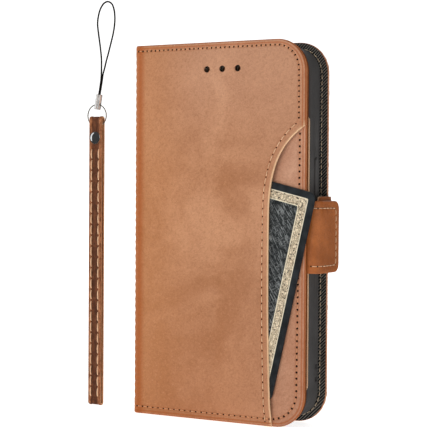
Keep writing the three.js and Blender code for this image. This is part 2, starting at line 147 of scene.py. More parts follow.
def left_of(directions):
    """Unit vectors to the left of directions in the plane."""
    t = unit(directions)
    return np.stack([-t[:, 1], t[:, 0]], 1)


def segment_distance(points, path, closed=False):
    """Distance of each point to the polyline."""
    p = np.asarray(points, float)
    a = np.asarray(path, float)
    b = np.roll(a, -1, axis=0) if closed else a[1:]
    a = a if closed else a[:-1]
    best = np.full(len(p), FAR)
    for start in range(0, len(a), CHUNK):
        sa, sb = a[start:start + CHUNK], b[start:start + CHUNK]
        d = sb - sa
        w = p[:, None, :] - sa[None]
        t = np.clip((w * d).sum(2) / np.maximum((d * d).sum(1), 1e-12), 0, 1)
        gap = np.linalg.norm(w - t[..., None] * d, axis=2).min(1)
        best = np.minimum(best, gap)
    return best


def inside(points, loop):
    p, a = np.asarray(points, float), np.asarray(loop, float)
    b = np.roll(a, -1, axis=0)
    odd = np.zeros(len(p), bool)
    for (x0, z0), (x1, z1) in zip(a, b):
        if z0 == z1:
            continue
        cross = (z0 > p[:, 1]) != (z1 > p[:, 1])
        odd ^= cross & (p[:, 0] < (x1 - x0) * (p[:, 1] - z0) / (z1 - z0) + x0)
    return odd


def depth_inside(points, loop):
    """Distance inwards from a closed outline; negative outside it."""
    gap = segment_distance(points, loop, closed=True)
    return np.where(inside(points, loop), gap, -gap)


def smooth(x, a, b):
    t = np.clip((np.asarray(x, float) - a) / (b - a), 0, 1)
    return t * t * (3 - 2 * t)


def round_over(d, r):
    """How far a face has dropped at distance d from an edge rounded to radius r."""
    e = np.clip(r - d, 0, r)
    return r - np.sqrt(np.maximum(r * r - e * e, 0))


# ---------------------------------------------------------------- mesh making

def new_object(name, points, faces, materials, attributes=None, face_slots=None, sharp=38, rest=None):
    """points are in case coordinates. rest is where each point lies for its textures, in mm."""
    mesh = bpy.data.meshes.new(name)
    mesh.from_pydata(to_frame(points).tolist(), [], faces)
    for m in materials if isinstance(materials, (list, tuple)) else [materials]:
        mesh.materials.append(m)
    if face_slots is not None:
        mesh.polygons.foreach_set("material_index", np.asarray(face_slots, np.int32))
    mesh.polygons.foreach_set("use_smooth", np.ones(len(mesh.polygons), bool))
    mesh.set_sharp_from_angle(angle=math.radians(sharp))
    where = mesh.attributes.new("rest", "FLOAT_VECTOR", "POINT")
    where.data.foreach_set("vector", np.asarray(points if rest is None else rest, np.float32).ravel())
    for key, values in (attributes or {}).items():
        a = mesh.attributes.new(key, "FLOAT", "POINT")
        a.data.foreach_set("value", np.asarray(values, np.float32))
    mesh.validate()
    mesh.update()
    obj = bpy.data.objects.new(name, mesh)
    bpy.context.scene.collection.objects.link(obj)
    return obj


class Parts:
    """Several closed surfaces gathered into one mesh."""

    def __init__(self):
        self.points, self.faces, self.count = [], [], 0

    def add(self, points, faces):
        self.points.append(np.asarray(points, float))
        self.faces += [tuple(i + self.count for i in f) for f in faces]
        self.count += len(points)

    def object(self, name, material, **kw):
        return new_object(name, np.vstack(self.points), self.faces, material, **kw)


def grid_faces(rows, cols, close_rows=False):
    """Faces between closed rings of cols points; close_rows joins the last ring to the first."""
    out = []
    for i in range(rows if close_rows else rows - 1):
        for j in range(cols):
            a, b = i * cols, ((i + 1) % rows) * cols
            k = (j + 1) % cols
            out.append((a + j, a + k, b + k, b + j))
    return out


def capped(rows, cols):
    """Faces of a stack of closed rings with both of its ends filled."""
    return grid_faces(rows, cols) + [tuple(range(cols))[::-1], tuple(range((rows - 1) * cols, rows * cols))]


def tube(path, radius, sides=8, closed=False, section=None, up=(0, 0, 1)):
    """Tube along a 3-D path. radius is a number or one per point; section(i, angles) may scale it."""
    p = np.asarray(path, float)
    n = len(p)
    tangent = unit(np.roll(p, -1, 0) - np.roll(p, 1, 0) if closed else np.gradient(p, axis=0))
    up = np.asarray(up, float)
    side = np.cross(tangent[0], up if abs(tangent[0] @ up) < 0.95 else (0, 1, 0))
    side /= np.linalg.norm(side)
    a = np.linspace(0, 2 * math.pi, sides, endpoint=False)
    rings = []
    radius = np.broadcast_to(radius, (n,))
    for i in range(n):
        side = side - (side @ tangent[i]) * tangent[i]
        side /= np.linalg.norm(side)
        other = np.cross(tangent[i], side)
        r = radius[i] * (section(i, a) if section else 1.0) * np.ones(sides)
        rings.append(p[i] + (np.cos(a) * r)[:, None] * side + (np.sin(a) * r)[:, None] * other)
    return np.vstack(rings), grid_faces(n, sides, close_rows=True) if closed else capped(n, sides)


def lathe(profile, turn, sides=48):
    """profile is (radius, height) from the axis round to the axis; turn puts (x, y, height) in place."""
    a = np.linspace(0, 2 * math.pi, sides, endpoint=False)
    points = [(0, 0, profile[0][1])]
    for r, h in profile[1:-1]:
        points += [(r * math.cos(t), r * math.sin(t), h) for t in a]
    points.append((0, 0, profile[-1][1]))
    inner = len(profile) - 2
    last, base = len(points) - 1, 1 + (inner - 1) * sides
    faces = [(0, 1 + (j + 1) % sides, 1 + j) for j in range(sides)]
    faces += [tuple(k + 1 for k in f) for f in grid_faces(inner, sides)]
    faces += [(last, base + j, base + (j + 1) % sides) for j in range(sides)]
    return turn(np.array(points, float)), faces


def fillet(points, radius, n=5):
    """A polyline with its inner corners rounded."""
    p = [np.asarray(q, float) for q in points]
    out = [p[0]]
    for a, b, c in zip(p[:-2], p[1:-1], p[2:]):
        ab, cb = a - b, c - b
        la, lc = np.linalg.norm(ab), np.linalg.norm(cb)
        k = min(radius, la * 0.49, lc * 0.49)
        s, e = b + ab / la * k, b + cb / lc * k
        for t in np.linspace(0, 1, n):
            out.append((1 - t) ** 2 * s + 2 * t * (1 - t) * b + t * t * e)
    out.append(p[-1])
    return np.array(out)


class Seam:
    """A row of stitches in a sheet's own coordinates: holes a pitch apart, thread on top between them."""

    # one stitch: how far along it each point of the thread is, its lift (above 0 sinks into the
    # hole, below 0 stands out by rise), and its thickness
    ALONG = (0.2, 0.36, 0.5, 0.64, 0.8)
    LIFT = np.array([0.22, 0.0, -0.85, -1.0, -0.85, 0.0, 0.22])
    FULLNESS = np.array([0.75, 0.95, 1, 1, 1, 0.95, 0.75])

    def __init__(self, path, pitch, pit=0.34, pit_depth=0.35, groove=0.55, groove_depth=0.12,
                 thread=0.2, rise=0.1, reach=0.12):
        self.path = np.asarray(path, float)
        self.holes = resample(self.path, pitch)
        self.pit, self.pit_depth, self.groove, self.groove_depth = pit, pit_depth, groove, groove_depth
        self.thread, self.rise, self.reach = thread, rise, reach

    def shape(self, p):
        """(depth, pit, groove) that the seam presses into each point of the sheet."""
        g = np.exp(-(segment_distance(p, self.path) / self.groove) ** 2)
        d = np.full(len(p), FAR)
        for start in range(0, len(self.holes), CHUNK):
            some = self.holes[start:start + CHUNK]
            d = np.minimum(d, np.linalg.norm(p[:, None] - some[None], axis=2).min(1))
        pit = 1 - smooth(d, self.pit * 0.45, self.pit)
        return g * self.groove_depth + pit * self.pit_depth, pit, g

    def mesh_points(self):
        """Points that a sheet needs to show the seam: rings at the holes, lines along the groove."""
        a = np.linspace(0, 2 * math.pi, 8, endpoint=False)
        ring = np.stack([np.cos(a), np.sin(a)], 1)
        out = [self.holes]
        for r in (0.45, 1.0):
            out.append((self.holes[:, None] + ring[None] * self.pit * r).reshape(-1, 2))
        fine = resample(self.path, 0.9)
        n = left_of(np.gradient(fine, axis=0))
        for k in (-1.9, -1.1, -0.55, 0.55, 1.1, 1.9):
            out.append(fine + n * k * self.groove)
        return out

    def threads(self, depth_at, place):
        """One raised thread from each hole to the next."""
        made = Parts()
        t = np.array([self.reach, *self.ALONG, 1 - self.reach])
        middle = slice(3, 4)
        lift = np.where(self.LIFT > 0, self.LIFT, self.LIFT * self.rise)
        for a, b in zip(self.holes[:-1], self.holes[1:]):
            p = a + (b - a) * t[:, None]
            path = place(p[:, 0], depth_at(p[middle])[0] + lift, p[:, 1])
            made.add(*tube(path, self.thread * self.FULLNESS, 6))
        return made


def stitch(name, seam, face, place, look, attach):
    """The seam's threads as one piece, lying in its groove in the sheet's face."""
    row = seam.threads(lambda p: face(p) + seam.groove_depth, place)
    attach(row.object(name, look, sharp=60))


def thin(points, gap):
    """Points with near neighbours dropped, first come first kept."""
    seen, keep = set(), []
    for i, (x, y) in enumerate(points):
        cell = (int(math.floor(x / gap)), int(math.floor(y / gap)))
        if cell not in seen:
            seen.add(cell)
            keep.append(i)
    return points[keep]


def keep_corners(outline, loop):
    """The resampled loop with the outline's sharp corners put back."""
    a = np.roll(outline, 1, 0) - outline
    b = np.roll(outline, -1, 0) - outline
    cosine = (a * b).sum(1) / np.maximum(np.linalg.norm(a, axis=1) * np.linalg.norm(b, axis=1), 1e-9)
    for corner in outline[cosine > -0.8]:
        i = int(np.linalg.norm(loop - corner, axis=1).argmin())
        loop[i] = corner
    return loop


def detail_points(loops, seams, rings, room):
    """Points along seams and beside edges, where a sheet's face bends most."""
    clouds = [(c, 0.12) for seam in seams for c in seam.mesh_points()]
    for k, loop in enumerate(loops):
        n = left_of(np.roll(loop, -1, 0) - np.roll(loop, 1, 0)) * (1 if k == 0 else -1)
        for r in rings:
            c = loop + n * r
            clouds.append((c[np.abs(room(c) - r) < 0.12 * r + 0.01], 0.02))
    return thin(np.vstack([c[room(c) > least] for c, least in clouds if len(c)]), 0.13)


def grid_points(low, high, step, dense):
    """Points a step apart with every other row shifted, and closer ones for dense, a range of u."""
    gx, gz = np.meshgrid(np.arange(low[0] + step / 2, high[0], step),
                         np.arange(low[1] + step / 2, high[1], step))
    g = np.stack([gx.ravel(), gz.ravel()], 1)
    g[:, 0] += (np.arange(len(g)) // gx.shape[1] % 2) * step * 0.5
    if dense is not None:
        more = np.meshgrid(np.arange(dense[0], dense[1], step / 3), np.arange(low[1], high[1], step))
        g = np.vstack([g, np.stack([m.ravel() for m in more], 1)])
    return g


def triangulated(loops, points):
    """(points, triangles) that fill the first loop around the others, all anticlockwise."""
    flat = np.vstack([*loops, points])
    rim, at = [], 0
    for loop in loops:
        m = len(loop)
        rim += [(at + i, at + (i + 1) % m) for i in range(m)]
        at += m
    out = delaunay_2d_cdt([Vector(p) for p in flat], rim, [], 0, 1e-5, False)
    flat = np.array([tuple(v) for v in out[0]])
    tri = np.array([f for f in out[2] if len(f) == 3])
    mid = flat[tri].mean(1)
    good = inside(mid, loops[0])
    for h in loops[1:]:
        good &= ~inside(mid, h)
    tri = tri[good]
    a, b, c = (flat[tri[:, k]] for k in range(3))
    area = (b[:, 0] - a[:, 0]) * (c[:, 1] - a[:, 1]) - (b[:, 1] - a[:, 1]) * (c[:, 0] - a[:, 0])
    tri[area < 0] = tri[area < 0][:, ::-1]
    tri = tri[np.abs(area) > 1e-7]
    used = np.unique(tri)
    remap = np.full(len(flat), -1)
    remap[used] = np.arange(len(used))
    return flat[used], remap[tri]


def rim_edges(tri):
    """The edges that only one triangle has."""
    edges = dict.fromkeys((int(t[i]), int(t[(i + 1) % 3])) for t in tri for i in range(3))
    return [e for e in edges if e[::-1] not in edges]


def every_edge(slot):
    """edge_slot for a sheet with one material all round its edge."""
    return lambda mids: np.full(len(mids), slot)


def level(depth):
    """A face of a sheet at one depth."""
    return lambda p: np.full(len(p), depth)


def near_edge(loop, radius):
    """A flat face of a sheet whose edge at loop is rounded."""
    return lambda p: round_over(depth_inside(p, loop), radius)


def sheet(name, outline, place, front, back, materials, step=3.0, rings=(0.05, 0.18, 0.4, 0.7, 1.1),
          holes=(), seams=(), edge_slot=every_edge(0), edges=None, rest=None, boundary_step=1.6,
          dense=None, mark=None):
    """A sheet of leather or cloth cut to outline. front and back give its two faces' depths, place
    takes (u, depth, z) to case coordinates, and edge_slot picks the material of each edge face.
    edges gives the distance to the edge that the material sees, rest the texture place of points
    and mark the share of paler leather."""
    outer = np.asarray(outline, float)
    loops = [keep_corners(outer, resample(outer, boundary_step, True))]
    loops += [np.asarray(h, float) for h in holes]

    def room(p):
        d = depth_inside(p, loops[0])
        for h in loops[1:]:
            d = np.minimum(d, -depth_inside(p, h))
        return d

    near = detail_points(loops, seams, rings, room)
    g = grid_points(outer.min(0), outer.max(0), step, dense)
    g = g[room(g) > max(rings) + 0.3 * step]
    cell = step * 0.45
    taken = {(round(x / cell), round(y / cell)) for x, y in near}
    g = np.array([q for q in g if (round(q[0] / cell), round(q[1] / cell)) not in taken]).reshape(-1, 2)
    flat, tri = triangulated(loops, np.vstack([near, g]))
    count = len(flat)
    press, pit, groove = np.zeros(count), np.zeros(count), np.zeros(count)
    for s in seams:
        d, p, g = s.shape(flat)
        press, pit, groove = press + d, np.maximum(pit, p), np.maximum(groove, g)
    y1 = back(flat)
    y0 = np.minimum(front(flat) + press, y1 - 0.08)
    points = np.vstack([place(flat[:, 0], y, flat[:, 1]) for y in (y0, y1)])
    walls = rim_edges(tri)
    faces = [tuple(t) for t in tri] + [tuple(t[::-1] + count) for t in tri]
    faces += [(j, i, i + count, j + count) for i, j in walls]
    slots = [0] * (2 * len(tri)) + list(edge_slot(np.array([(flat[i] + flat[j]) / 2 for i, j in walls])))
    none = np.zeros(count)
    d = np.clip(room(flat) if edges is None else edges(flat), 0, 40)
    attributes = {"edge": np.concatenate([d, d]), "pit": np.concatenate([pit, none]),
                  "groove": np.concatenate([groove, none])}
    if mark is not None:
        attributes["mark"] = np.concatenate([mark(flat), none])
    rest_points = None if rest is None else np.vstack([rest(flat, y0), rest(flat, y1)])
    # the outside face looks towards smaller depth
    a, b, c = (points[k] for k in tri[0])
    if np.cross(b - a, c - a) @ (points[tri[0][0] + count] - a) > 0:
        faces = [f[::-1] for f in faces]
    return new_object(name, points, faces, materials, attributes, slots, rest=rest_points)


# ---------------------------------------------------------------- where sheets lie

def front_place(u, depth, z):
    """Outside of the front cover and half the spine, unrolled: depth runs inwards."""
    u, depth, z = (np.asarray(v, float) for v in (u, depth, z))
    a = np.clip((FOLD_X - u) / FOLD, 0, math.pi / 2)
    r = FOLD - depth
    x = np.where(u >= FOLD_X, u, FOLD_X - r * np.sin(a))
    y = np.where(u >= FOLD_X, depth, FOLD - r * np.cos(a) + np.maximum(FOLD_X - ARC - u, 0))
    return np.stack([x, y, z + 0 * u], 1)


def back_place(u, depth, z):
    p = front_place(u, depth, z)
    p[:, 1] = DEPTH - p[:, 1]
    return p


def on_plane(y, way=1):
    """Place for an upright flat sheet with its face at y; its depth runs to +Y, or to -Y for way -1."""
    def place(u, depth, z):
        u, depth, z = (np.asarray(v, float) for v in (u, depth, z))
        return np.stack([u, y + way * depth + 0 * u, z], 1)
    return place


def frame_point(x, y):
    return tuple(to_frame((x, y, 0.0)))


FOLD_REACH = 4.0                            # how far from its corner a fold's region reaches


def on_front_fold(obj):
    frame_point(SPINE_X + 0.4, FOLD_REACH)
    frame_point(SPINE_X + FOLD_REACH, 0.4)
    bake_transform(obj)


def on_back_fold(obj):
    frame_point(SPINE_X + FOLD_REACH, DEPTH - 0.4)
    frame_point(SPINE_X + 0.4, DEPTH - FOLD_REACH)
    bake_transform(obj)


def on_body(obj, body):
    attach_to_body(obj, body)


# ---------------------------------------------------------------- materials

def srgb(r, g, b):
    def linear(v):
        v /= 255
        return v / 12.92 if v <= 0.04045 else ((v + 0.055) / 1.055) ** 2.4
    return (linear(r), linear(g), linear(b), 1.0)


class Look:
    """A material and short names for the nodes it is made of."""

    def __init__(self, name, coordinates="rest", **constants):
        self.material = bpy.data.materials.new(name)
        self.material.use_nodes = True
        self.tree = self.material.node_tree
        self.tree.nodes.clear()
        self.surface = self.node("ShaderNodeBsdfPrincipled")
        out = self.node("ShaderNodeOutputMaterial")
        self.tree.links.new(self.surface.outputs[0], out.inputs[0])
        if coordinates == "rest":
            self.where = self.attribute("rest", vector=True)
        else:
            scale = self.node("ShaderNodeVectorMath", operation="SCALE")
            coord = self.node("ShaderNodeTexCoord")
            self.tree.links.new(coord.outputs["Object"], scale.inputs[0])
            scale.inputs["Scale"].default_value = 1000.0
            self.where = scale.outputs[0]
        for key, value in constants.items():
            self.surface.inputs[key.replace("_", " ")].default_value = value

    def node(self, kind, **settings):
        n = self.tree.nodes.new(kind)
        for k, v in settings.items():
            setattr(n, k, v)
        return n

    def put(self, socket, value):
        if isinstance(value, bpy.types.NodeSocket):
            self.tree.links.new(value, socket)
        else:
            socket.default_value = value

    def attribute(self, name, vector=False):
        n = self.node("ShaderNodeAttribute", attribute_name=name)
        return n.outputs["Vector" if vector else "Fac"]

    def axis(self, k):
        n = self.node("ShaderNodeSeparateXYZ")
        self.put(n.inputs[0], self.where)
        return n.outputs[k]

    def stretched(self, scale, turn=(0, 0, 0)):
        """The place turned first and then scaled, so that streaks follow the turned axes."""
        turned = self.node("ShaderNodeMapping")
        self.put(turned.inputs["Vector"], self.where)
        turned.inputs["Rotation"].default_value = turn
        n = self.node("ShaderNodeMapping")
        self.put(n.inputs["Vector"], turned.outputs[0])
        n.inputs["Scale"].default_value = scale
        return n.outputs[0]

    def noise(self, size, detail=3.0, rough=0.55, where=None, distortion=0.0):
        """Noise whose features are about size mm."""
        n = self.node("ShaderNodeTexNoise")
        self.put(n.inputs["Vector"], self.where if where is None else where)
        n.inputs["Scale"].default_value = 1.0 / size
        n.inputs["Detail"].default_value = detail
        n.inputs["Roughness"].default_value = rough
        n.inputs["Distortion"].default_value = distortion
        return n.outputs["Fac"]

    def cells(self, size, feature="F1"):
        """Cells about size mm across."""
        n = self.node("ShaderNodeTexVoronoi", feature=feature)
        self.put(n.inputs["Vector"], self.where)
        n.inputs["Scale"].default_value = 1.0 / size
        return n.outputs["Distance"]

    def wave(self, size, turn, distortion, direction="X"):
        """Ribs size mm apart in a place that is turned first."""
        n = self.node("ShaderNodeTexWave", bands_direction=direction)
        self.put(n.inputs["Vector"], self.stretched((1, 1, 1), turn))
        n.inputs["Scale"].default_value = 0.314 / size       # the node's own bands are 0.314 apart
        n.inputs["Distortion"].default_value = distortion
        n.inputs["Detail"].default_value = 1.0
        return n.outputs["Fac"]

    def math(self, operation, a, b):
        n = self.node("ShaderNodeMath", operation=operation)
        self.put(n.inputs[0], a)
        self.put(n.inputs[1], b)
        return n.outputs[0]

    def span(self, value, a, b, to=(0.0, 1.0)):
        """A soft step: to[0] where value is at a, to[1] where it is at b."""
        n = self.node("ShaderNodeMapRange", interpolation_type="SMOOTHSTEP")
        self.put(n.inputs["Value"], value)
        n.inputs["From Min"].default_value, n.inputs["From Max"].default_value = min(a, b), max(a, b)
        lo, hi = to if a <= b else to[::-1]
        n.inputs["To Min"].default_value, n.inputs["To Max"].default_value = lo, hi
        return n.outputs["Result"]

    def mix(self, factor, a, b):
        n = self.node("ShaderNodeMix", data_type="RGBA")
        self.put(n.inputs["Factor"], factor)
        self.put(n.inputs[6], a)
        self.put(n.inputs[7], b)
        return n.outputs[2]

    def bump(self, height, distance, strength=1.0, under=None):
        n = self.node("ShaderNodeBump")
        self.put(n.inputs["Height"], height)
        n.inputs["Distance"].default_value = distance * MM
        n.inputs["Strength"].default_value = strength
        if under is not None:
            self.put(n.inputs["Normal"], under)
        return n.outputs[0]

    def finish(self, color, roughness, normal=None):
        for socket, value in (("Base Color", color), ("Roughness", roughness), ("Normal", normal)):
            if value is not None:
                self.put(self.surface.inputs[socket], value)
        return self.material


def leather(name, light, dark, warm_shade, deep, painted_light_by_height=None, across=None, fold_shade=None, grain=1.0,
            rough=(0.42, 0.6), gloss=0.2, line_at=1.3):
    """Smooth waxed leather: cloudy pull-up colour and wrinkled grain, with painted shade: a warm darker band
    and line along its rounded edges, a warm tint in the stitch grooves and along a fold, and near-black
    stitch holes.
    The by-height pair is its (top, low) colours, painted light at the top and painted shade low down; the
    across pair its (left, right) colours, painted shade at the left and painted light at the right; the fold
    numbers say where the painted shade along a fold starts, is strongest and ends, and line_at how far from
    the edge the painted line of shade lies."""
    k = Look(name, Specular_IOR_Level=gloss)
    cloud = k.noise(30, 4, 0.6, distortion=0.6)
    patch = k.noise(8, 5, 0.62)
    color = k.mix(k.span(cloud, 0.34, 0.66), dark, light)
    color = k.mix(k.math("MULTIPLY", k.span(patch, 0.48, 0.72), 0.30), color, dark)
    # painted light and shade: the leather is painted lighter towards the top and darker low down
    if painted_light_by_height is not None:
        top, low = painted_light_by_height
        color = k.mix(k.span(k.axis(2), 95, 150, (0.0, 0.55)), color, top)
        color = k.mix(k.span(k.axis(2), 75, 5, (0.0, 0.5)), color, low)
    # painted light and shade: the leather is painted darker towards the spine side and lighter towards the
    # fore-edge
    if across is not None:
        left, right = across
        color = k.mix(k.span(k.axis(0), 34, 2, (0.0, 0.55)), color, left)
        color = k.mix(k.span(k.axis(0), 40, 76, (0.0, 0.5)), color, right)
    fine = k.noise(1.0, 4, 0.72, distortion=0.8)
    wrinkle = k.noise(1.5, 4, 0.66, k.stretched((0.7, 1, 1.25), (0, math.radians(35), 0)), distortion=1.2)
    color = k.mix(k.span(wrinkle, 0.47, 0.64, (0.0, 0.14)), color, deep)
    color = k.mix(k.span(fine, 0.46, 0.66, (0.0, 0.24)), color, deep)
    color = k.mix(k.span(fine, 0.46, 0.30, (0.0, 0.40)), color, light)
    color = k.mix(k.math("MULTIPLY", k.attribute("mark"), 0.85), color, srgb(252, 214, 170))
    # painted shade: a warmer, darker band along the spine fold
    if fold_shade is not None:
        x0, x1, x2 = fold_shade
        band = k.math("MULTIPLY", k.span(k.axis(0), x0, x1), k.span(k.axis(0), x2, x1))
        color = k.mix(k.math("MULTIPLY", band, 0.75), color, warm_shade)
    # painted shade: the leather is painted warmer and darker in a band at its rounded edges and in a line a
    # little way in from them
    ragged = k.math("ADD", k.attribute("edge"), k.math("MULTIPLY", k.noise(3.0, 3), 0.3))
    color = k.mix(k.span(ragged, 0.75, 0.3, (0.0, 0.8)), color, warm_shade)
    line = k.math("MULTIPLY", k.span(ragged, line_at - 0.45, line_at + 0.1),
                  k.span(ragged, line_at + 0.75, line_at + 0.2))
    color = k.mix(k.math("MULTIPLY", line, 0.62), color, warm_shade)
    # painted shade: the stitch grooves are painted warmer and darker
    color = k.mix(k.math("MULTIPLY", k.attribute("groove"), 0.34), color, warm_shade)
    # painted shade: the stitch holes are painted near-black
    color = k.mix(k.span(k.attribute("pit"), 0.15, 0.6, (0.0, 0.97)), color, srgb(30, 14, 8))
    roughness = k.span(k.noise(2.4, 4), 0.3, 0.7, rough)
    pebble = k.cells(0.62, "SMOOTH_F1")
    soft = k.noise(5.5, 4, 0.55)
    normal = k.bump(soft, 0.35 * grain, 0.35)
    normal = k.bump(wrinkle, 0.32 * grain, 0.5, normal)
    normal = k.bump(pebble, 0.09 * grain, 0.6, normal)
    return k.finish(color, roughness, normal)


def painted_edge(name, color_a, color_b, color_c, coordinates="rest"):
    """Edge paint, the raw cut of leather, or painted shade on the walls of holes: fine fibres along the
    sheet.
    """
    k = Look(name, coordinates, Specular_IOR_Level=0.35)
    color = k.mix(k.span(k.noise(1.2, 4, 0.7), 0.35, 0.65), color_a, color_b)
    color = k.mix(k.span(k.noise(0.35, 2), 0.5, 0.7, (0.0, 0.35)), color, color_c)
    normal = k.bump(k.noise(0.3, 3, 0.7), 0.09, 0.6)
    return k.finish(color, k.span(k.noise(0.8, 3), 0.3, 0.7, (0.55, 0.8)), normal)


def thread_look(name, light, dark):
    """Waxed thread with a fine twist."""
    k = Look(name, Specular_IOR_Level=0.25, Sheen_Weight=0.25)
    twist = k.wave(0.28, (0.5, 0.6, 0.3), 1.0, "DIAGONAL")
    color = k.mix(k.math("MULTIPLY", twist, 0.55), light, dark)
    color = k.mix(k.span(k.noise(3.0, 2), 0.4, 0.7, (0.0, 0.45)), color, dark)
    return k.finish(color, 0.7, k.bump(twist, 0.08, 0.7))


def twill(name):
    """Dark woven lining with fine diagonal ribs."""
    k = Look(name, Specular_IOR_Level=0.3, Sheen_Weight=0.1, Sheen_Roughness=0.4)
    ribs = k.wave(0.95, (0, math.radians(-47), 0), 0.35)
    yarn = k.wave(0.3, (0, math.radians(38), 0), 0.5)
    color = k.mix(k.span(ribs, 0.42, 0.70), srgb(6, 6, 7), srgb(130, 126, 118))
    color = k.mix(k.math("MULTIPLY", yarn, 0.25), color, srgb(22, 22, 23))
    color = k.mix(k.span(k.noise(6, 3), 0.4, 0.7, (0.0, 0.3)), color, srgb(40, 41, 43))
    normal = k.bump(ribs, 0.22, 0.8)
    normal = k.bump(yarn, 0.08, 0.5, normal)
    return k.finish(color, k.span(ribs, 0, 1, (0.75, 0.55)), normal)


def moulded(name, base, light, rough=(0.44, 0.58)):
    """Fine-matt moulded plastic."""
    k = Look(name, Specular_IOR_Level=0.28)
    color = k.mix(k.span(k.noise(14, 3), 0.35, 0.7), base, light)
    color = k.mix(k.span(k.noise(0.5, 2), 0.45, 0.7, (0.0, 0.18)), color, light)
    normal = k.bump(k.noise(0.22, 2, 0.6), 0.03, 0.45)
    return k.finish(color, k.span(k.noise(3.5, 3), 0.3, 0.7, rough), normal)


def chrome(name, tint=(0.80, 0.81, 0.82, 1), coordinates="rest", rough=(0.08, 0.18), metallic=1.0,
           worn=0.35):
    """Plated metal with fine scratches; worn is how far its duller patches go."""
    k = Look(name, coordinates, Metallic=metallic)
    scratch = k.noise(0.8, 4, 0.7, k.stretched((0.25, 1, 3)))
    color = k.mix(k.span(k.noise(1.5, 3), 0.4, 0.75, (0.0, worn)), tint, (0.50, 0.51, 0.53, 1))
    return k.finish(color, k.span(scratch, 0.35, 0.7, rough), k.bump(scratch, 0.02, 0.25))


CARD_BAND = (2.9, 6.6)                      # how far from the card's edge its pale band starts and ends


def card_look():
    """Dark card: plain rim, pale ornament band, scratched dark middle. rest is the card's own plane."""
    k = Look("card_print", Specular_IOR_Level=0.4)
    edge = k.attribute("edge")
    rim = k.mix(k.span(k.noise(4, 3), 0.35, 0.7), srgb(30, 34, 37), srgb(46, 51, 55))
    scroll = k.cells(1.5, "DISTANCE_TO_EDGE")
    curl = k.noise(0.9, 3, 0.6, distortion=1.8)
    beads = k.cells(1.05, "F1")
    band = k.mix(k.span(curl, 0.42, 0.60), srgb(244, 228, 198), srgb(196, 176, 146))
    band = k.mix(k.span(scroll, 0.17, 0.04, (0.0, 0.5)), band, srgb(120, 104, 82))
    band = k.mix(k.span(beads, 0.34, 0.20, (0.0, 0.95)), band, srgb(34, 30, 27))
    band = k.mix(k.span(k.noise(0.5, 2, 0.7), 0.55, 0.66, (0.0, 0.75)), band, srgb(62, 56, 48))
    scratch_a = k.noise(0.8, 3, 0.7, k.stretched((0.22, 1, 1.5), (0, math.radians(-46), 0)))
    scratch_b = k.noise(0.8, 3, 0.7, k.stretched((0.25, 1, 1.6), (0, math.radians(38), 0)))
    middle = k.mix(k.span(scratch_a, 0.49, 0.62), srgb(30, 34, 36), srgb(138, 142, 142))
    middle = k.mix(k.span(scratch_b, 0.52, 0.64, (0.0, 0.7)), middle, srgb(126, 129, 129))
    middle = k.mix(k.span(k.noise(9, 3), 0.44, 0.66, (0.0, 0.5)), middle, srgb(26, 30, 33))

    def within(a, b, soft=0.12):
        return k.math("MULTIPLY", k.span(edge, a - soft, a + soft), k.span(edge, b + soft, b - soft))

    color = k.mix(k.span(edge, 6.55, 6.75), rim, middle)
    color = k.mix(within(*CARD_BAND), color, band)
    for at in (2.95, 6.5):
        color = k.mix(within(at - 0.16, at + 0.16, 0.1), color, srgb(236, 226, 200))
    for at in (3.45, 6.0):
        color = k.mix(k.math("MULTIPLY", within(at - 0.08, at + 0.08, 0.1), 0.55), color, srgb(96, 86, 64))
    raised = k.mix(within(*CARD_BAND), scratch_a, k.math("ADD", curl, scroll))
    normal = k.bump(raised, 0.12, 0.5)
    return k.finish(color, k.span(k.noise(2, 3), 0.3, 0.7, (0.38, 0.6)), normal)


LIGHT, DARK = srgb(201, 146, 109), srgb(173, 117, 80)
WARM_SHADE, DEEP = srgb(166, 84, 32), srgb(134, 82, 50)
# the covers' left colour is painted shade and their right colour painted light
LEFT_SHADE, RIGHT_LIGHT = srgb(184, 120, 70), srgb(192, 142, 112)
cover_leather = leather("cover_leather", LIGHT, DARK, WARM_SHADE, DEEP, across=(LEFT_SHADE, RIGHT_LIGHT),
                        painted_light_by_height=(srgb(202, 155, 127), srgb(174, 112, 72)), fold_shade=(-1.2, 1.8, 5.0))
back_leather = leather("back_leather", LIGHT, DARK, WARM_SHADE, DEEP, across=(LEFT_SHADE, RIGHT_LIGHT),
                       painted_light_by_height=(srgb(198, 148, 118), srgb(174, 114, 76)), fold_shade=(-1.2, 1.8, 5.0))
window_leather = leather("window_leather", srgb(206, 158, 130), srgb(188, 136, 108), WARM_SHADE, DEEP,
                         painted_light_by_height=(srgb(206, 164, 140), srgb(172, 116, 84)))
inner_leather = leather("inner_leather", srgb(196, 140, 98), srgb(172, 114, 74), WARM_SHADE, DEEP,
                        rough=(0.5, 0.66), line_at=0.9)
tab_leather = leather("tab_leather", srgb(192, 112, 58), srgb(164, 92, 44), srgb(176, 98, 46),
                      srgb(120, 68, 34), line_at=0.9, grain=0.6, rough=(0.3, 0.44), gloss=0.42)
pale_edge = painted_edge("pale_edge", srgb(226, 172, 138), srgb(206, 150, 116), srgb(168, 116, 84))
edge_paint = painted_edge("edge_paint", srgb(222, 146, 92), srgb(202, 122, 70), srgb(160, 96, 56))
dark_edge = painted_edge("dark_edge", srgb(84, 52, 34), srgb(60, 38, 26), srgb(120, 82, 54))
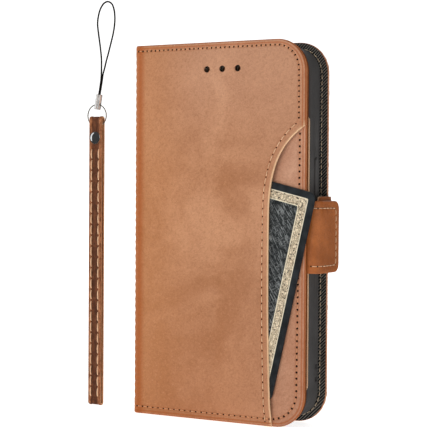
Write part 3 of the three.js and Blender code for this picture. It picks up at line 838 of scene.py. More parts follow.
# painted shade: the walls of the ear holes are painted near-black
hole_shade = painted_edge("hole_shade", srgb(20, 14, 12), srgb(10, 8, 8), srgb(40, 26, 20))
raw_cut = painted_edge("raw_cut", srgb(250, 214, 174), srgb(236, 192, 148), srgb(196, 142, 98))
strap_edge = painted_edge("strap_edge", srgb(236, 186, 140), srgb(206, 152, 108), srgb(160, 108, 70))
tan_thread = thread_look("tan_thread", srgb(240, 204, 166), srgb(190, 140, 100))
rust_thread = thread_look("rust_thread", srgb(226, 168, 122), srgb(172, 110, 72))
lining_thread = thread_look("lining_thread", srgb(246, 222, 190), srgb(190, 160, 128))
twill_lining = twill("twill_lining")
grey_shell = moulded("grey_shell", srgb(76, 74, 73), srgb(88, 86, 85), rough=(0.52, 0.66))
grey_board = painted_edge("grey_board", srgb(150, 138, 122), srgb(128, 118, 104), srgb(96, 88, 78), "object")
magnet_metal = chrome("magnet_metal", (0.45, 0.45, 0.47, 1), "object", (0.3, 0.5))
bright_metal = chrome("bright_metal")
crimp_metal = chrome("crimp_metal", (0.93, 0.93, 0.92, 1), rough=(0.16, 0.28), metallic=0.5, worn=0.1)
ring_metal = chrome("ring_metal", (0.52, 0.51, 0.44, 1), rough=(0.2, 0.34), metallic=0.8)
card_print = card_look()
card_edge = moulded("card_edge", srgb(40, 43, 46), srgb(58, 62, 65))


def cord_look():
    k = Look("black_cord", Specular_IOR_Level=0.2, Sheen_Weight=0.05)
    strand = k.noise(0.5, 3, 0.7)
    color = k.mix(k.span(strand, 0.35, 0.7), srgb(6, 6, 7), srgb(24, 24, 25))
    return k.finish(color, k.span(strand, 0.3, 0.7, (0.45, 0.7)), k.bump(strand, 0.05, 0.6))


black_cord = cord_look()


# ---------------------------------------------------------------- cord loop

STRAP_X, STRAP_Y = -26.4, 9.0
CORD_RADIUS = 0.37
CORD_TUCK = 1.1                             # how far both ends reach into the crimp's mouth
CORD_STEP = 0.25
CORD_STRANDS, CORD_TURN = 3, 2.4            # strands, and the length of one turn of their twist
CRIMP_LEAN = math.radians(9.3)
CORD_ROUTE = [
    (-25.15, 8.6, 135.2), (-24.75, 8.6, 137.3), (-24.4, 8.6, 139.4), (-24.1, 8.6, 141.4),
    (-24, 8.65, 143.6), (-24.1, 8.85, 146.1), (-24.2, 9, 149.6), (-24.5, 9, 152.8),
    (-25.2, 9, 157.5), (-25.9, 9, 161.7), (-26.35, 9, 165.5), (-25.9, 9, 169), (-24.8, 9, 172),
    (-23.1, 9, 174.1), (-21.1, 9, 174.8), (-19, 9, 173.8), (-17.8, 9, 171.4), (-17.3, 9, 168),
    (-17.45, 9, 164.6), (-18.1, 9, 161), (-19.3, 9, 156.8), (-20.5, 9, 152.8),
    (-21.8, 9.05, 148.9), (-22.7, 9.2, 146.1), (-23.6, 9.35, 143.6), (-24, 9.4, 141.4),
    (-24.35, 9.4, 139.4), (-24.75, 9.4, 137.3), (-25.15, 9.4, 135.2),
]


def spline(points, per=6):
    """Centripetal Catmull-Rom curve through the points."""
    p = np.asarray(points, float)
    p = np.vstack([2 * p[0] - p[1], p, 2 * p[-1] - p[-2]])
    out = []
    for a, b, c, d in zip(p[:-3], p[1:-2], p[2:-1], p[3:]):
        t1 = np.linalg.norm(b - a) ** 0.5
        t2 = t1 + np.linalg.norm(c - b) ** 0.5
        t3 = t2 + np.linalg.norm(d - c) ** 0.5
        for t in np.linspace(t1, t2, per, endpoint=False):
            ab, bc = a + (b - a) * t / t1, b + (c - b) * (t - t1) / (t2 - t1)
            cd = c + (d - c) * (t - t2) / (t3 - t2)
            abc = ab + (bc - ab) * t / t2
            bcd = bc + (cd - bc) * (t - t1) / (t3 - t1)
            out.append(abc + (bcd - abc) * (t - t1) / (t2 - t1))
    out.append(p[-2])
    return np.array(out)


def make_cord():
    """Twisted cord whose two ends reach a little way into the crimp's mouth, and its middle line."""
    tuck = np.array([math.sin(CRIMP_LEAN), 0, math.cos(CRIMP_LEAN)]) * CORD_TUCK
    route = np.array(CORD_ROUTE, float)
    line = resample(spline(np.vstack([route[0] - tuck, route, route[-1] - tuck])), CORD_STEP)

    def section(i, a):
        lobes = np.cos(CORD_STRANDS * (a - 2 * math.pi * i * CORD_STEP / CORD_TURN))
        return 0.96 + 0.07 * lobes

    made = Parts()
    made.add(*tube(line, CORD_RADIUS, 12, section=section, up=(0, 1, 0)))
    cord = made.object("cord_loop_twisted", black_cord, sharp=60)
    on_body(cord, "wrist_strap")
    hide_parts("cord_loop")
    return cord, line


cord, cord_line = make_cord()


# ---------------------------------------------------------------- front cover, outside

def bezier(points, n):
    t = np.linspace(0, 1, n)[:, None]
    p = [np.asarray(q, float) for q in points]
    if len(p) == 3:
        return (1 - t) ** 2 * p[0] + 2 * t * (1 - t) * p[1] + t * t * p[2]
    return (1 - t) ** 3 * p[0] + 3 * t * (1 - t) ** 2 * p[1] + 3 * t * t * (1 - t) * p[2] + t ** 3 * p[3]


def free_edge():
    """The pocket's curved free edge, from the cover's bottom up to its fore-edge."""
    bend = (64, 88)
    upper = bezier([(WIDTH, 119.8), (71.5, 114.5), (65, 107), bend], 40)
    lower = bezier([bend, (62.9, 45), (65.3, -1)], 60)
    curve = np.vstack([upper, lower[1:]])[::-1]
    first = int(np.argmax(curve[:, 1] > 0))
    cut_x = np.interp(0, curve[first - 1:first + 1, 1], curve[first - 1:first + 1, 0])
    return np.vstack([[(cut_x, 0.0)], curve[first:]])


FREE_EDGE = free_edge()
BEYOND_SPINE = -60                          # an outline from here has no edge near the spine
BIG_OUTLINE = cover_outline(0, BEYOND_SPINE, n=24)
EAR_X, EAR_Z, EAR_RADIUS = (34.6, 41.8, 49.0), 143, 1.3
EAR_HOLES = [arc(x, EAR_Z, EAR_RADIUS, 0, 345, 24) for x in EAR_X]
LINING_HOLES = [arc(x, EAR_Z, 0.75, 0, 345, 16) for x in EAR_X]
HINGE_GROOVE_X, HINGE_GROOVE_HALF = 4.6, 1.5
LEATHER_THICK = 0.6
CROWN, BARE_CROWN = 0.8, 0.42               # how far the pocket stands out over the card, and elsewhere


def pocket_outline():
    corner = arc(WIDTH - FORE_RADIUS, HEIGHT - FORE_RADIUS, FORE_RADIUS, 0, 90, 24)
    return np.vstack([[(U_MID, 0.0)], FREE_EDGE, corner, [(U_MID, HEIGHT)]])


def hinge_groove(u, depth=0.2):
    return depth * np.exp(-((u - HINGE_GROOVE_X) / HINGE_GROOVE_HALF) ** 2)


def pocket_form(p):
    """The pocket panel's outer face without its stitches."""
    u, z = p[:, 0], p[:, 1]
    d, f = depth_inside(p, BIG_OUTLINE), segment_distance(p, FREE_EDGE)
    near_card = smooth(z, 3.2, 8.2) * smooth(z, 119, 106)
    crown = BARE_CROWN * smooth(d, 0.6, 9) * smooth(u, 4, 12)
    crown += (CROWN - BARE_CROWN) * near_card * smooth(u, 5.5, 12)
    lift = 0.35 * np.exp(-(f / 5) ** 2) * smooth(z, 60, 96) * smooth(z, 114, 103)
    sway = 0.04 * np.sin(u / 9.0 + z / 17.0) * smooth(d, 3, 14) * smooth(u, 4, 16)
    holes = np.full(len(p), FAR)
    for h in EAR_HOLES:
        holes = np.minimum(holes, segment_distance(p, h, True))
    return hinge_groove(u) - crown - lift - sway + round_over(holes, 0.3)


def pocket_front(p):
    d, f = depth_inside(p, BIG_OUTLINE), segment_distance(p, FREE_EDGE)
    return pocket_form(p) + round_over(d, 0.58) + round_over(f, 0.12)


def pocket_back(p):
    d = depth_inside(p, BIG_OUTLINE)
    turned = (1 - smooth(p[:, 0], -1.5, 3.5)) * (1 - smooth(d, 0.6, 1.0)) * 0.45
    return pocket_form(p) + LEATHER_THICK + 0.08 * (1 - smooth(d, 2, 4)) + turned


def free_seam():
    """The line of stitches beside the pocket's free edge."""
    line = resample(FREE_EDGE, 1.0)
    inner = line + left_of(np.gradient(line, axis=0)) * 2.8
    return inner[(inner[:, 1] > 1.0) & (inner[:, 0] < 76.2)]


SEAM_START_U = U_MID + 1.05
TOP_SEAM = np.vstack([[(SEAM_START_U, 151.6), (60, 151.7)], arc(66.4, 141.6, 10.1, 90, 0, 12),
                      [(76.6, 122.6)]])
BOTTOM_SEAM = np.array([(SEAM_START_U, 3.0), (64.2, 3.0)])
pocket_seams = [
    Seam(TOP_SEAM, 2.1, pit=0.50, thread=0.17, rise=0.05, reach=0.2),
    Seam(BOTTOM_SEAM, 2.6, pit=0.4, thread=0.17, rise=0.08, reach=0.18),
    Seam(free_seam(), 3.15, pit=0.36, groove=0.5, groove_depth=0.14, thread=0.2, rise=0.12),
]


def hole_slot(mid, slot):
    """The material given by slot beside an ear hole, material 1 on every other edge."""
    near = np.array([np.linalg.norm(mid - (x, EAR_Z), axis=1) for x in EAR_X]).min(0)
    return np.where(near < EAR_RADIUS + 0.3, slot, 1)


def pocket_edge_slot(mid):
    return np.where(segment_distance(mid, FREE_EDGE) < 0.05, 2, hole_slot(mid, 3))


pocket = sheet("front_pocket_leather", pocket_outline(), front_place, pocket_front, pocket_back,
               [cover_leather, edge_paint, raw_cut, hole_shade], holes=EAR_HOLES, seams=pocket_seams,
               edge_slot=pocket_edge_slot, dense=(-3, 9),
               mark=lambda p: np.exp(-(segment_distance(p, FREE_EDGE) / 0.38) ** 2),
               edges=lambda p: depth_inside(p, BIG_OUTLINE))
on_front_fold(pocket)
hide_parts("front_pocket_panel")

for number, (seam, look) in enumerate(zip(pocket_seams, (rust_thread, rust_thread, tan_thread)), 1):
    stitch(f"front_stitches_{number}", seam, pocket_front, front_place, look,
           lambda row: on_front_fold(row))

WINDOW_Y = (0.66, 1.33)                     # outer and inner face of the leather seen beside the pocket


def window_front(p):
    beside_pocket = 0.3 * np.exp(-(segment_distance(p, FREE_EDGE) / 0.8) ** 2)
    return WINDOW_Y[0] + round_over(depth_inside(p, BIG_OUTLINE), 0.3) + beside_pocket


WINDOW_SEAM = np.vstack([[(76.7, 116.4), (76.5, 80), (76.1, 40), (75.9, 16)],
                         arc(64.9, 14.0, 11.0, 0, -84, 12), [(65.8, 3.0)]])
window_seam = Seam(WINDOW_SEAM, 2.5, pit=0.58, pit_depth=0.4, groove=0.7, groove_depth=0.16,
                   thread=0.16, rise=0.03, reach=0.22)
window = sheet("window_leather_front", cover_outline(0, INNER_START_X), on_plane(0), window_front,
               level(WINDOW_Y[1]), [window_leather, edge_paint, hole_shade], holes=EAR_HOLES,
               seams=[window_seam], edge_slot=lambda m: hole_slot(m, 2), step=3.6,
               rings=(0.05, 0.15, 0.3, 0.7, 1.1), edges=lambda p: depth_inside(p, BIG_OUTLINE))
on_body(window, "front_cover")
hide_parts("front_cover_leather")
stitch("window_stitches", window_seam, window_front, on_plane(0), rust_thread,
       lambda row: on_body(row, "front_cover"))


# ---------------------------------------------------------------- front cover, inside

LINING_Y, LINING_THICK = 3.4, 0.37          # the sheets in here face the phone, so depth runs to -Y

lining_outline = cover_outline(0.3, INNER_START_X)
lining = sheet("front_lining_leather", lining_outline, on_plane(LINING_Y, -1),
               near_edge(lining_outline, 0.12), level(LINING_THICK), [inner_leather, dark_edge, hole_shade],
               holes=LINING_HOLES, edge_slot=lambda m: hole_slot(m, 2), step=5)
on_body(lining, "front_cover")
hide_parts("front_cover_lining")

SLOT_EDGES = (9, 18, 27)
SLOT_Z = (14.6, 123.8)
SLOT_BASE_Y, SLOT_STEP_Y, SLOT_THICK = 3.45, 0.4, 0.35


def slot_seam(left):
    """Stitches round a card slot's top, fore-edge and bottom, with cut corners."""
    low, high = SLOT_Z
    cut_u, end_u, inset, cut_z = WIDTH - 4.5, WIDTH - 2.8, 2.2, 4
    return Seam([(left + 2, high - inset), (cut_u, high - inset), (end_u, high - cut_z),
                 (end_u, low + cut_z), (cut_u, low + inset), (left + 2, low + inset)],
                2.6, pit=0.3, pit_depth=0.12, groove_depth=0.05, thread=0.14, rise=0.12)


for index, left in enumerate(SLOT_EDGES):
    place = on_plane(SLOT_BASE_Y + index * SLOT_STEP_Y + SLOT_THICK, -1)
    loop = rounded((left, WIDTH - 0.3), SLOT_Z, (1.5, 2, 2, 1.5), 8)
    seams = [slot_seam(left)] if left == SLOT_EDGES[-1] else []
    slot_panel = sheet(f"card_slot_{index + 1}", loop, place, near_edge(loop, 0.12), level(SLOT_THICK),
                       [inner_leather, raw_cut], seams=seams, edge_slot=every_edge(1), step=5,
                       rings=(0.04, 0.12))
    on_body(slot_panel, "front_cover")
    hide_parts(f"card_slot_panel_{index + 1}")
    for seam in seams:
        stitch("card_slot_stitches", seam, near_edge(loop, 0.12), place, tan_thread,
               lambda row: on_body(row, "front_cover"))


# ---------------------------------------------------------------- strips of lining over the two folds

FOLD_LINING_THICK, FOLD_LINING_Z = 0.3, (0.5, HEIGHT - 0.5)
SPINE_LINING_X = SPINE_X + 1.96


def fold_lining(name, path):
    """A thin strip of lining that follows path, drawn in X and Y, over nearly the case's height."""
    line = resample(fillet(path, 1.6, 7), 0.4)
    under = line - left_of(np.gradient(line, axis=0)) * FOLD_LINING_THICK
    section = np.vstack([line, under[::-1]])
    heights = resample(np.array(FOLD_LINING_Z)[:, None], 6.0)[:, 0]
    loops = [np.insert(section, 2, z, axis=1) for z in heights]
    faces = [f[::-1] for f in capped(len(loops), len(section))]
    return new_object(name, np.vstack(loops), faces, twill_lining)


front_strip = fold_lining("fold_lining_front", [(7.6, 3.8), (3.6, 3.8), (SPINE_LINING_X, 6.0),
                                                (SPINE_LINING_X, MID_SPINE)])
frame_point(SPINE_LINING_X, 6.0)
frame_point(4.6, 3.7)
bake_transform(front_strip)
back_strip = fold_lining("fold_lining_back", [(SPINE_LINING_X, MID_SPINE), (SPINE_LINING_X, 16.2),
                                              (2.2, 17.6), (6.0, 17.95)])
frame_point(4.2, 17.9)
frame_point(SPINE_LINING_X, 15.6)
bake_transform(back_strip)
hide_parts("spine_lining")


# ---------------------------------------------------------------- back cover

LENS_X, LENS_Z, LENS_RADIUS = (37.2, 73.2), (110.6, 147.6), 8
REAR_SLOT_Z = (61.6, 92.0)                  # where the rear tab comes out through the rim
BACK_BIG_OUTLINE = cover_outline(0, BEYOND_SPINE, BACK_WIDTH, n=24)


def lens_opening(margin):
    """The shell's opening for the phone's camera, larger by margin all round."""
    return rounded((LENS_X[0] - margin, LENS_X[1] + margin), (LENS_Z[0] - margin, LENS_Z[1] + margin),
                   (LENS_RADIUS + margin,) * 4, 12)


CAMERA_HOLE = lens_opening(0.6)


def back_front(p):
    d = depth_inside(p, BACK_BIG_OUTLINE)
    crown = 0.12 * smooth(d, 1, 10) * smooth(p[:, 0], 4, 16)
    rims = round_over(d, 0.95) + round_over(segment_distance(p, CAMERA_HOLE, True), 0.35)
    return hinge_groove(p[:, 0], 0.15) + rims - crown


def back_back(p):
    """The sheet is 0.85 mm thick, and its turned rim reaches in to the lining."""
    u, z = p[:, 0], p[:, 1]
    d = depth_inside(p, BACK_BIG_OUTLINE)
    at_tab = (z > REAR_SLOT_Z[0]) & (z < REAR_SLOT_Z[1]) & (u > 76)
    rim = (d < 1.02) & (u > 5) & ~at_tab
    turned = (1 - smooth(u, -1.5, 3.5)) * (1 - smooth(d, 0.6, 1.0)) * 0.4
    return np.where(rim, DEPTH - 18.46, 0.85 + turned)


BACK_SEAM_INSET = 1.75
back_seam_loop = np.vstack([
    [(SEAM_START_U, BACK_SEAM_INSET)],
    arc(BACK_WIDTH - FORE_RADIUS, FORE_RADIUS, FORE_RADIUS - BACK_SEAM_INSET, -90, 0, 14),
    arc(BACK_WIDTH - FORE_RADIUS, HEIGHT - FORE_RADIUS, FORE_RADIUS - BACK_SEAM_INSET, 0, 90, 14),
    [(SEAM_START_U, HEIGHT - BACK_SEAM_INSET)]])
back_seam = Seam(back_seam_loop, 2.4, pit=0.34, thread=0.17, rise=0.08)
back = sheet("back_leather_panel", cover_outline(0, U_MID, BACK_WIDTH, corner=0.01, n=24), back_place,
             back_front, back_back, [back_leather, pale_edge], holes=[CAMERA_HOLE[::-1]],
             seams=[back_seam], edge_slot=every_edge(1), dense=(-3, 9),
             rings=(0.05, 0.18, 0.4, 0.7, 1.0, 1.06),
             edges=lambda p: np.minimum(depth_inside(p, BACK_BIG_OUTLINE),
                                        segment_distance(p, CAMERA_HOLE, True)))
on_back_fold(back)
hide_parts("back_cover_leather", "spine_leather")
stitch("back_stitches", back_seam, back_front, back_place, rust_thread,
       lambda row: on_back_fold(row))

TWILL_Y, TWILL_THICK = 18.0, 0.4
twill_outline = cover_outline(0.2, INNER_START_X + 0.3, BACK_WIDTH)
LINING_SEAM_INSET = 2.5


def lining_seam_path():
    """One line inside the lining's three free sides, from the spine and back to it."""
    inset = LINING_SEAM_INSET
    r, right, high = FORE_RADIUS - inset, BACK_WIDTH - inset, HEIGHT - inset
    low_corner = arc(right - r, inset + r, r, 270, 360, 14)
    high_corner = arc(right - r, high - r, r, 0, 90, 14)
    return np.vstack([[(INNER_START_X + 2, inset)], low_corner, high_corner, [(INNER_START_X + 2, high)]])


lining_seam = Seam(lining_seam_path(), 2.4, pit=0.2, pit_depth=0.1, groove_depth=0.05, thread=0.14,
                   rise=0.2)
back_lining = sheet("back_lining_twill", twill_outline, on_plane(TWILL_Y), near_edge(twill_outline, 0.15),
                    level(TWILL_THICK), [twill_lining], seams=[lining_seam],
                    holes=[lens_opening(0.9)[::-1]], step=5)
on_body(back_lining, "back_cover")
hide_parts("back_cover_lining")
stitch("lining_stitches", lining_seam, level(0.0), on_plane(TWILL_Y), lining_thread,
       lambda row: on_body(row, "back_cover"))


# ---------------------------------------------------------------- phone shell

SHELL_X, SHELL_Z, SHELL_RADIUS = (3.3, 77.4), (2.2, 151.8), 11.0
SHELL_WALL = 1.3
BUTTON_WIDTH, BUTTON_Y, BUTTON_PROUD, GAP = 2.8, 13.7, 0.7, 0.3
POWER_Z, VOLUME_UP_Z, VOLUME_DOWN_Z = (89.5, 107.0), (104.0, 116.0), (89.0, 101.0)
# middle and size of the other openings
PORT_X, PORT_Y = (40.35, 38), (12.9, 5)
LANYARD_Y, LANYARD_Z = (15.3, 1.6), ((18.2, 2.2), (23.4, 2.2))
SWITCH_Y, SWITCH_Z = (13.7, 3.6), (126, 11)


def shell_loop(inset):
    r = max(SHELL_RADIUS - inset, 0.5)
    return rounded((SHELL_X[0] + inset, SHELL_X[1] - inset), (SHELL_Z[0] + inset, SHELL_Z[1] - inset),
                   (r,) * 4, 16)


def stacked(profile):
    """A closed tray: rounded-rectangle loops at (inset, y), each end filled."""
    loops = [np.insert(shell_loop(inset), 1, y, axis=1) for inset, y in profile]
    return np.vstack(loops), capped(len(loops), len(loops[0]))


def prism(outline, span, axis):
    """A straight cutter: outline across two axes, span along the third (0 X, 1 Y, 2 Z)."""
    rings = [np.insert(np.asarray(outline, float), axis, v, axis=1) for v in span]
    return np.vstack(rings), capped(2, len(outline))


def plain_object(name, points, faces):
    """A mesh with its faces turned outwards, for a boolean cut."""
    mesh = bpy.data.meshes.new(name)
    mesh.from_pydata(to_frame(points).tolist(), [], faces)
    mesh.update()
    obj = bpy.data.objects.new(name, mesh)
    bpy.context.scene.collection.objects.link(obj)
    bpy.ops.object.select_all(action="DESELECT")
    bpy.context.view_layer.objects.active = obj
    obj.select_set(True)
    bpy.ops.object.mode_set(mode="EDIT")
    bpy.ops.mesh.select_all(action="SELECT")
    bpy.ops.mesh.normals_make_consistent(inside=False)
    bpy.ops.object.mode_set(mode="OBJECT")
    return obj


def carved(name, points, faces, cutters, material, bevel=0.0):
    """A solid with the cutters, each (points, faces), taken out of it."""
    body = plain_object(name + "_blank", points, faces)
    made = []
    for i, (cp, cf) in enumerate(cutters):
        cutter = plain_object(f"{name}_cutter_{i}", cp, cf)
        made.append(cutter)
        m = body.modifiers.new("cut", "BOOLEAN")
        m.operation, m.solver, m.object = "DIFFERENCE", "EXACT", cutter
    if bevel:
        m = body.modifiers.new("soften", "BEVEL")
        m.width, m.segments, m.limit_method = bevel * MM, 2, "ANGLE"
        m.angle_limit = math.radians(50)
    done = bpy.data.meshes.new_from_object(body.evaluated_get(bpy.context.evaluated_depsgraph_get()))
    co = np.array([v.co for v in done.vertices]) / MM + ORIGIN
    polys = [tuple(p.vertices) for p in done.polygons]
    for o in [body, *made]:
        bpy.data.objects.remove(o)
    return new_object(name, co, polys, material, sharp=32)


def pill(a, b, n=8):
    """Outline with fully round short ends."""
    r = min(a[1] - a[0], b[1] - b[0]) / 2 - 0.001
    return rounded(a, b, (r,) * 4, n)


def centred(at, size):
    return (at - size / 2, at + size / 2)


shell_profile = [
    (3.2, 16.8), (2.1, 16.8), (1.62, 16.65), (1.36, 16.3), (1.3, 15.8), (1.3, 9.6), (1.42, 9.38),
    (1.75, 9.3), (2.15, 9.3), (2.3, 9.15), (2.33, 8.85), (2.24, 8.55), (2.0, 8.43), (1.6, 8.4),
    (1.0, 8.4), (0.6, 8.5), (0.28, 8.75), (0.1, 9.15), (0.03, 9.9), (0.0, 11.2), (0.0, 15.2),
    (0.03, 16.4), (0.12, 17.0), (0.36, 17.5), (0.8, 17.8), (1.4, 17.88), (2.4, 17.9)]
wall_reach = {1: (SHELL_X[1] - 4, SHELL_X[1] + 2), -1: (SHELL_X[0] - 2, SHELL_X[0] + 4)}


def button_window(side, z):
    half = BUTTON_WIDTH / 2 + GAP
    return prism(pill((BUTTON_Y - half, BUTTON_Y + half), (z[0] - GAP, z[1] + GAP)), wall_reach[side], 0)


shell_cutters = [
    prism(lens_opening(0), (15, 20), 1),
    prism(pill(centred(*PORT_X), centred(*PORT_Y)), (0, 6), 2),
    *[prism(rounded(centred(*LANYARD_Y), centred(*z), (0.5,) * 4, 5), wall_reach[1], 0) for z in LANYARD_Z],
    prism(pill(centred(*SWITCH_Y), centred(*SWITCH_Z)), wall_reach[-1], 0),
    button_window(1, POWER_Z), button_window(-1, VOLUME_UP_Z), button_window(-1, VOLUME_DOWN_Z)]
shell = carved("phone_shell_body", *stacked(shell_profile), shell_cutters, grey_shell, bevel=0.18)
on_body(shell, "back_cover")
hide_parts("phone_shell")


def make_button(name, node, body, side, z):
    """Soft pad over a side button: domed face with a shallow dish along its middle."""
    loop = pill((BUTTON_Y - BUTTON_WIDTH / 2, BUTTON_Y + BUTTON_WIDTH / 2), z, 10)
    outer = SHELL_X[1] + BUTTON_PROUD if side > 0 else SHELL_X[0] - BUTTON_PROUD
    thick = BUTTON_PROUD + SHELL_WALL - 0.2

    def place(u, depth, zz):
        u, depth, zz = (np.asarray(v, float) for v in (u, depth, zz))
        return np.stack([outer - side * depth + 0 * u, u, zz], 1)

    def face(p):
        d = depth_inside(p, loop)
        return round_over(d, 0.55) + 0.12 * smooth(d, 0.8, 1.3)

    pad = sheet(name, loop, place, face, level(thick), grey_shell, step=1.0,
                rings=(0.05, 0.15, 0.3, 0.5, 0.8, 1.0, 1.2), boundary_step=0.5)
    on_body(pad, body)
    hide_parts(node)


make_button("power_pad", "power_button_cover", "power_button", 1, POWER_Z)
make_button("volume_up_pad", "volume_up_cover", "volume_up_button", -1, VOLUME_UP_Z)
make_button("volume_down_pad", "volume_down_cover", "volume_down_button", -1, VOLUME_DOWN_Z)


# ---------------------------------------------------------------- magnetic clasp

def path_place(path, side):
    """Place for a sheet that follows a path drawn in X and Y, and its length: u runs along it and
    depth goes to its left for side 1, to its right for side -1."""
    line = resample(path, 0.1)
    t = unit(np.gradient(line, axis=0))
    for _ in range(4):
        t = (np.roll(t, 1, 0) + t + np.roll(t, -1, 0)) / 3
        t[0], t[-1] = t[1], t[-2]
        t = unit(t)
    n = left_of(t) * side
    s = np.linspace(0, length_of(line), len(line))

    def place(u, depth, z):
        u, depth, z = (np.asarray(v, float) for v in (u, depth, z))
        x = np.interp(u, s, line[:, 0]) + np.interp(u, s, n[:, 0]) * depth
        y = np.interp(u, s, line[:, 1]) + np.interp(u, s, n[:, 1]) * depth
        return np.stack([x, y, z + 0 * u], 1)
    return place, float(s[-1])


CLASP_Z, REAR_CLASP_Z = (61.4, 90.0), (61.9, 91.7)
CLASP_RADIUS, REAR_CLASP_RADIUS = 3.2, 1.4
TAB_ROUND = 0.42                            # how far a tab's face is rounded at its edge


def tab_piece(name, path, side, z_range, radius, thin_to, thick, root, bulge, seam, attach, replaced):
    """Leather tab: a thin root as far as thin_to along the path, a bend, then a padded leaf with
    round tail corners and a row of stitches."""
    place, total = path_place(path, side)
    loop = rounded((0, total), z_range, (0.05, radius, radius, 0.05), 12)

    def face(p):
        d = depth_inside(p, loop)
        pad = bulge * smooth(p[:, 0], thin_to + 0.5, thin_to + 5) * smooth(d, 0.8, 4.5)
        return round_over(d, TAB_ROUND) - pad

    def under(p):
        body = root + (thick - root) * smooth(p[:, 0], thin_to, thin_to + 2.4)
        return body - 0.35 * round_over(depth_inside(p, loop), TAB_ROUND)

    made = sheet(name, loop, place, face, under, [tab_leather, raw_cut], seams=[seam],
                 edge_slot=every_edge(1), step=1.4, rings=(0.04, 0.12, 0.25, 0.42, 0.8))
    attach(made, "cover_leather")
    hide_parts(*replaced)
    stitch(name + "_stitches", seam, face, place, tan_thread, lambda row: attach(row, "cover_leather"))


def leaf_seam(u, z_range, inset, **kind):
    """Stitches out along a tab's leaf from u[0] to u[1], across it, and back."""
    low, high = z_range[0] + inset, z_range[1] - inset
    line = [(u[0], low), (u[1], low), (u[1], high), (u[0], high)]
    return Seam(fillet(line, 1.2), 2.75, groove=0.45, **kind)


def on_front_tab(obj, slot):
    frame_point(81.6, 2.0)
    frame_point(84.8, 5.2)
    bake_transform(obj)


def on_rear_tab(obj, slot):
    frame_point(80.0, 19.9)
    frame_point(82.0, 18.0)
    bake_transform(obj)


TAB_BEND = 3.2                              # outer radius of the soft bend
TAB_ROOT_X, TAB_OUTER_X, TAB_FACE_Y, TAB_END_Y = 72.0, 84.6, 2.2, 20.6
front_tab_path = np.vstack([
    [(TAB_ROOT_X, TAB_FACE_Y)],
    arc(TAB_OUTER_X - TAB_BEND, TAB_FACE_Y + TAB_BEND, TAB_BEND, -90, 0, 17),
    [(TAB_OUTER_X, TAB_END_Y)]])
tail = length_of(front_tab_path)
tab_piece("front_tab_leather", front_tab_path, 1, CLASP_Z, CLASP_RADIUS, thin_to=11.5, thick=1.68,
          root=0.68, bulge=0.16, attach=on_front_tab,
          seam=leaf_seam((9.2, tail - 3.2), CLASP_Z, 2.9, pit=0.42, pit_depth=0.25,
                         groove_depth=0.12, thread=0.19, rise=0.14),
          replaced=("front_tab_root", "front_tab_face", "front_tab_backing"))

REAR_LEAF_X, REAR_END_Y = 81.85, 8.2
rear_tab_path = fillet([(71.0, 19.28), (79.4, 19.32), (80.8, 19.75), (REAR_LEAF_X, 19.55),
                        (REAR_LEAF_X, REAR_END_Y)], 0.7, 6)
rear_tail = length_of(rear_tab_path)
tab_piece("rear_tab_leather", rear_tab_path, -1, REAR_CLASP_Z, REAR_CLASP_RADIUS, thin_to=10.4,
          thick=1.28, root=0.6, bulge=0.0, attach=on_rear_tab,
          seam=leaf_seam((rear_tail - 8.4, rear_tail - 2.6), REAR_CLASP_Z, 2.6, pit=0.3,
                         pit_depth=0.16, groove_depth=0.08, thread=0.16, rise=0.05),
          replaced=("rear_tab_root", "rear_tab_face", "rear_tab_backing"))


# ---------------------------------------------------------------- card

CARD_WIDTH, CARD_LENGTH, CARD_THICK, CARD_CORNER = 53.98, 85.6, 0.76, (84.5, 92.9)
CARD_TILT = math.radians(13.2)
CARD_FACE_Y = -0.16
CARD_CORNER_RADIUS, CARD_ROUND = 3.18, 0.14


def card_place(u, depth, z):
    u, depth, z = (np.asarray(v, float) for v in (u, depth, z))
    c, s = math.cos(CARD_TILT), math.sin(CARD_TILT)
    return np.stack([CARD_CORNER[0] + u * c + z * s, CARD_FACE_Y + depth, CARD_CORNER[1] - u * s + z * c], 1)


card_loop = rounded((-CARD_WIDTH, 0), (-CARD_LENGTH, 0), (CARD_CORNER_RADIUS,) * 4, 14)
card_front = near_edge(card_loop, CARD_ROUND)
card = sheet("card_body", card_loop, card_place, card_front, lambda p: CARD_THICK - card_front(p),
             [card_print, card_edge], edge_slot=every_edge(1), step=4,
             rings=(0.04, CARD_ROUND, 2.9, 3.4, 6.1, 6.6, 7.5),
             rest=lambda p, y: np.column_stack([p[:, 0], y, p[:, 1]]))
on_body(card, "card")
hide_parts("pocket_card")


# ---------------------------------------------------------------- wrist strap

STRAP_WIDTH, STRAP_TOP, STRAP_SHEET, STRAP_GAP = 6.7, 125.5, 0.85, 1.0
STRAP_HALF = STRAP_SHEET + STRAP_GAP / 2
CHANNEL_HALF = 1.85
RIVET_Z, RIVET_CAP_RADIUS = 116.1, 2.8
RING_Z, RING_RADIUS, RING_WIRE = 125.75, 4.85, 0.25


def strap_loop_path():
    """Outer line of the folded band, in Y and Z."""
    r, low, high = STRAP_HALF, STRAP_HALF, STRAP_TOP - STRAP_HALF
    front = [(STRAP_Y - r, z) for z in np.linspace(high, low, 60)]
    rear = [(STRAP_Y + r, z) for z in np.linspace(low, high, 60)]
    return np.vstack([front, arc(STRAP_Y, low, r, 180, 360, 12)[1:-1],
                      rear, arc(STRAP_Y, high, r, 0, 180, 12)[1:-1]])


def strap_section():
    """(across, depth) round the band: its outer face with a stitched channel, then its inner face."""
    half, thick, channel = STRAP_WIDTH / 2, STRAP_SHEET, CHANNEL_HALF
    face = [(half - 0.03, 0.26), (half - 0.16, 0.08), (half - 0.4, 0.0), (2.3, -0.02),
            (channel + 0.1, 0.05), (channel - 0.12, 0.18), (1.2, 0.15)]
    return [(-half, 0.5 * thick), *[(-x, deep) for x, deep in face], (0, 0.12), *face[::-1],
            (half, 0.5 * thick), (half - 0.05, thick - 0.15), (half - 0.2, thick),
            (-half + 0.2, thick), (-half + 0.05, thick - 0.15)]


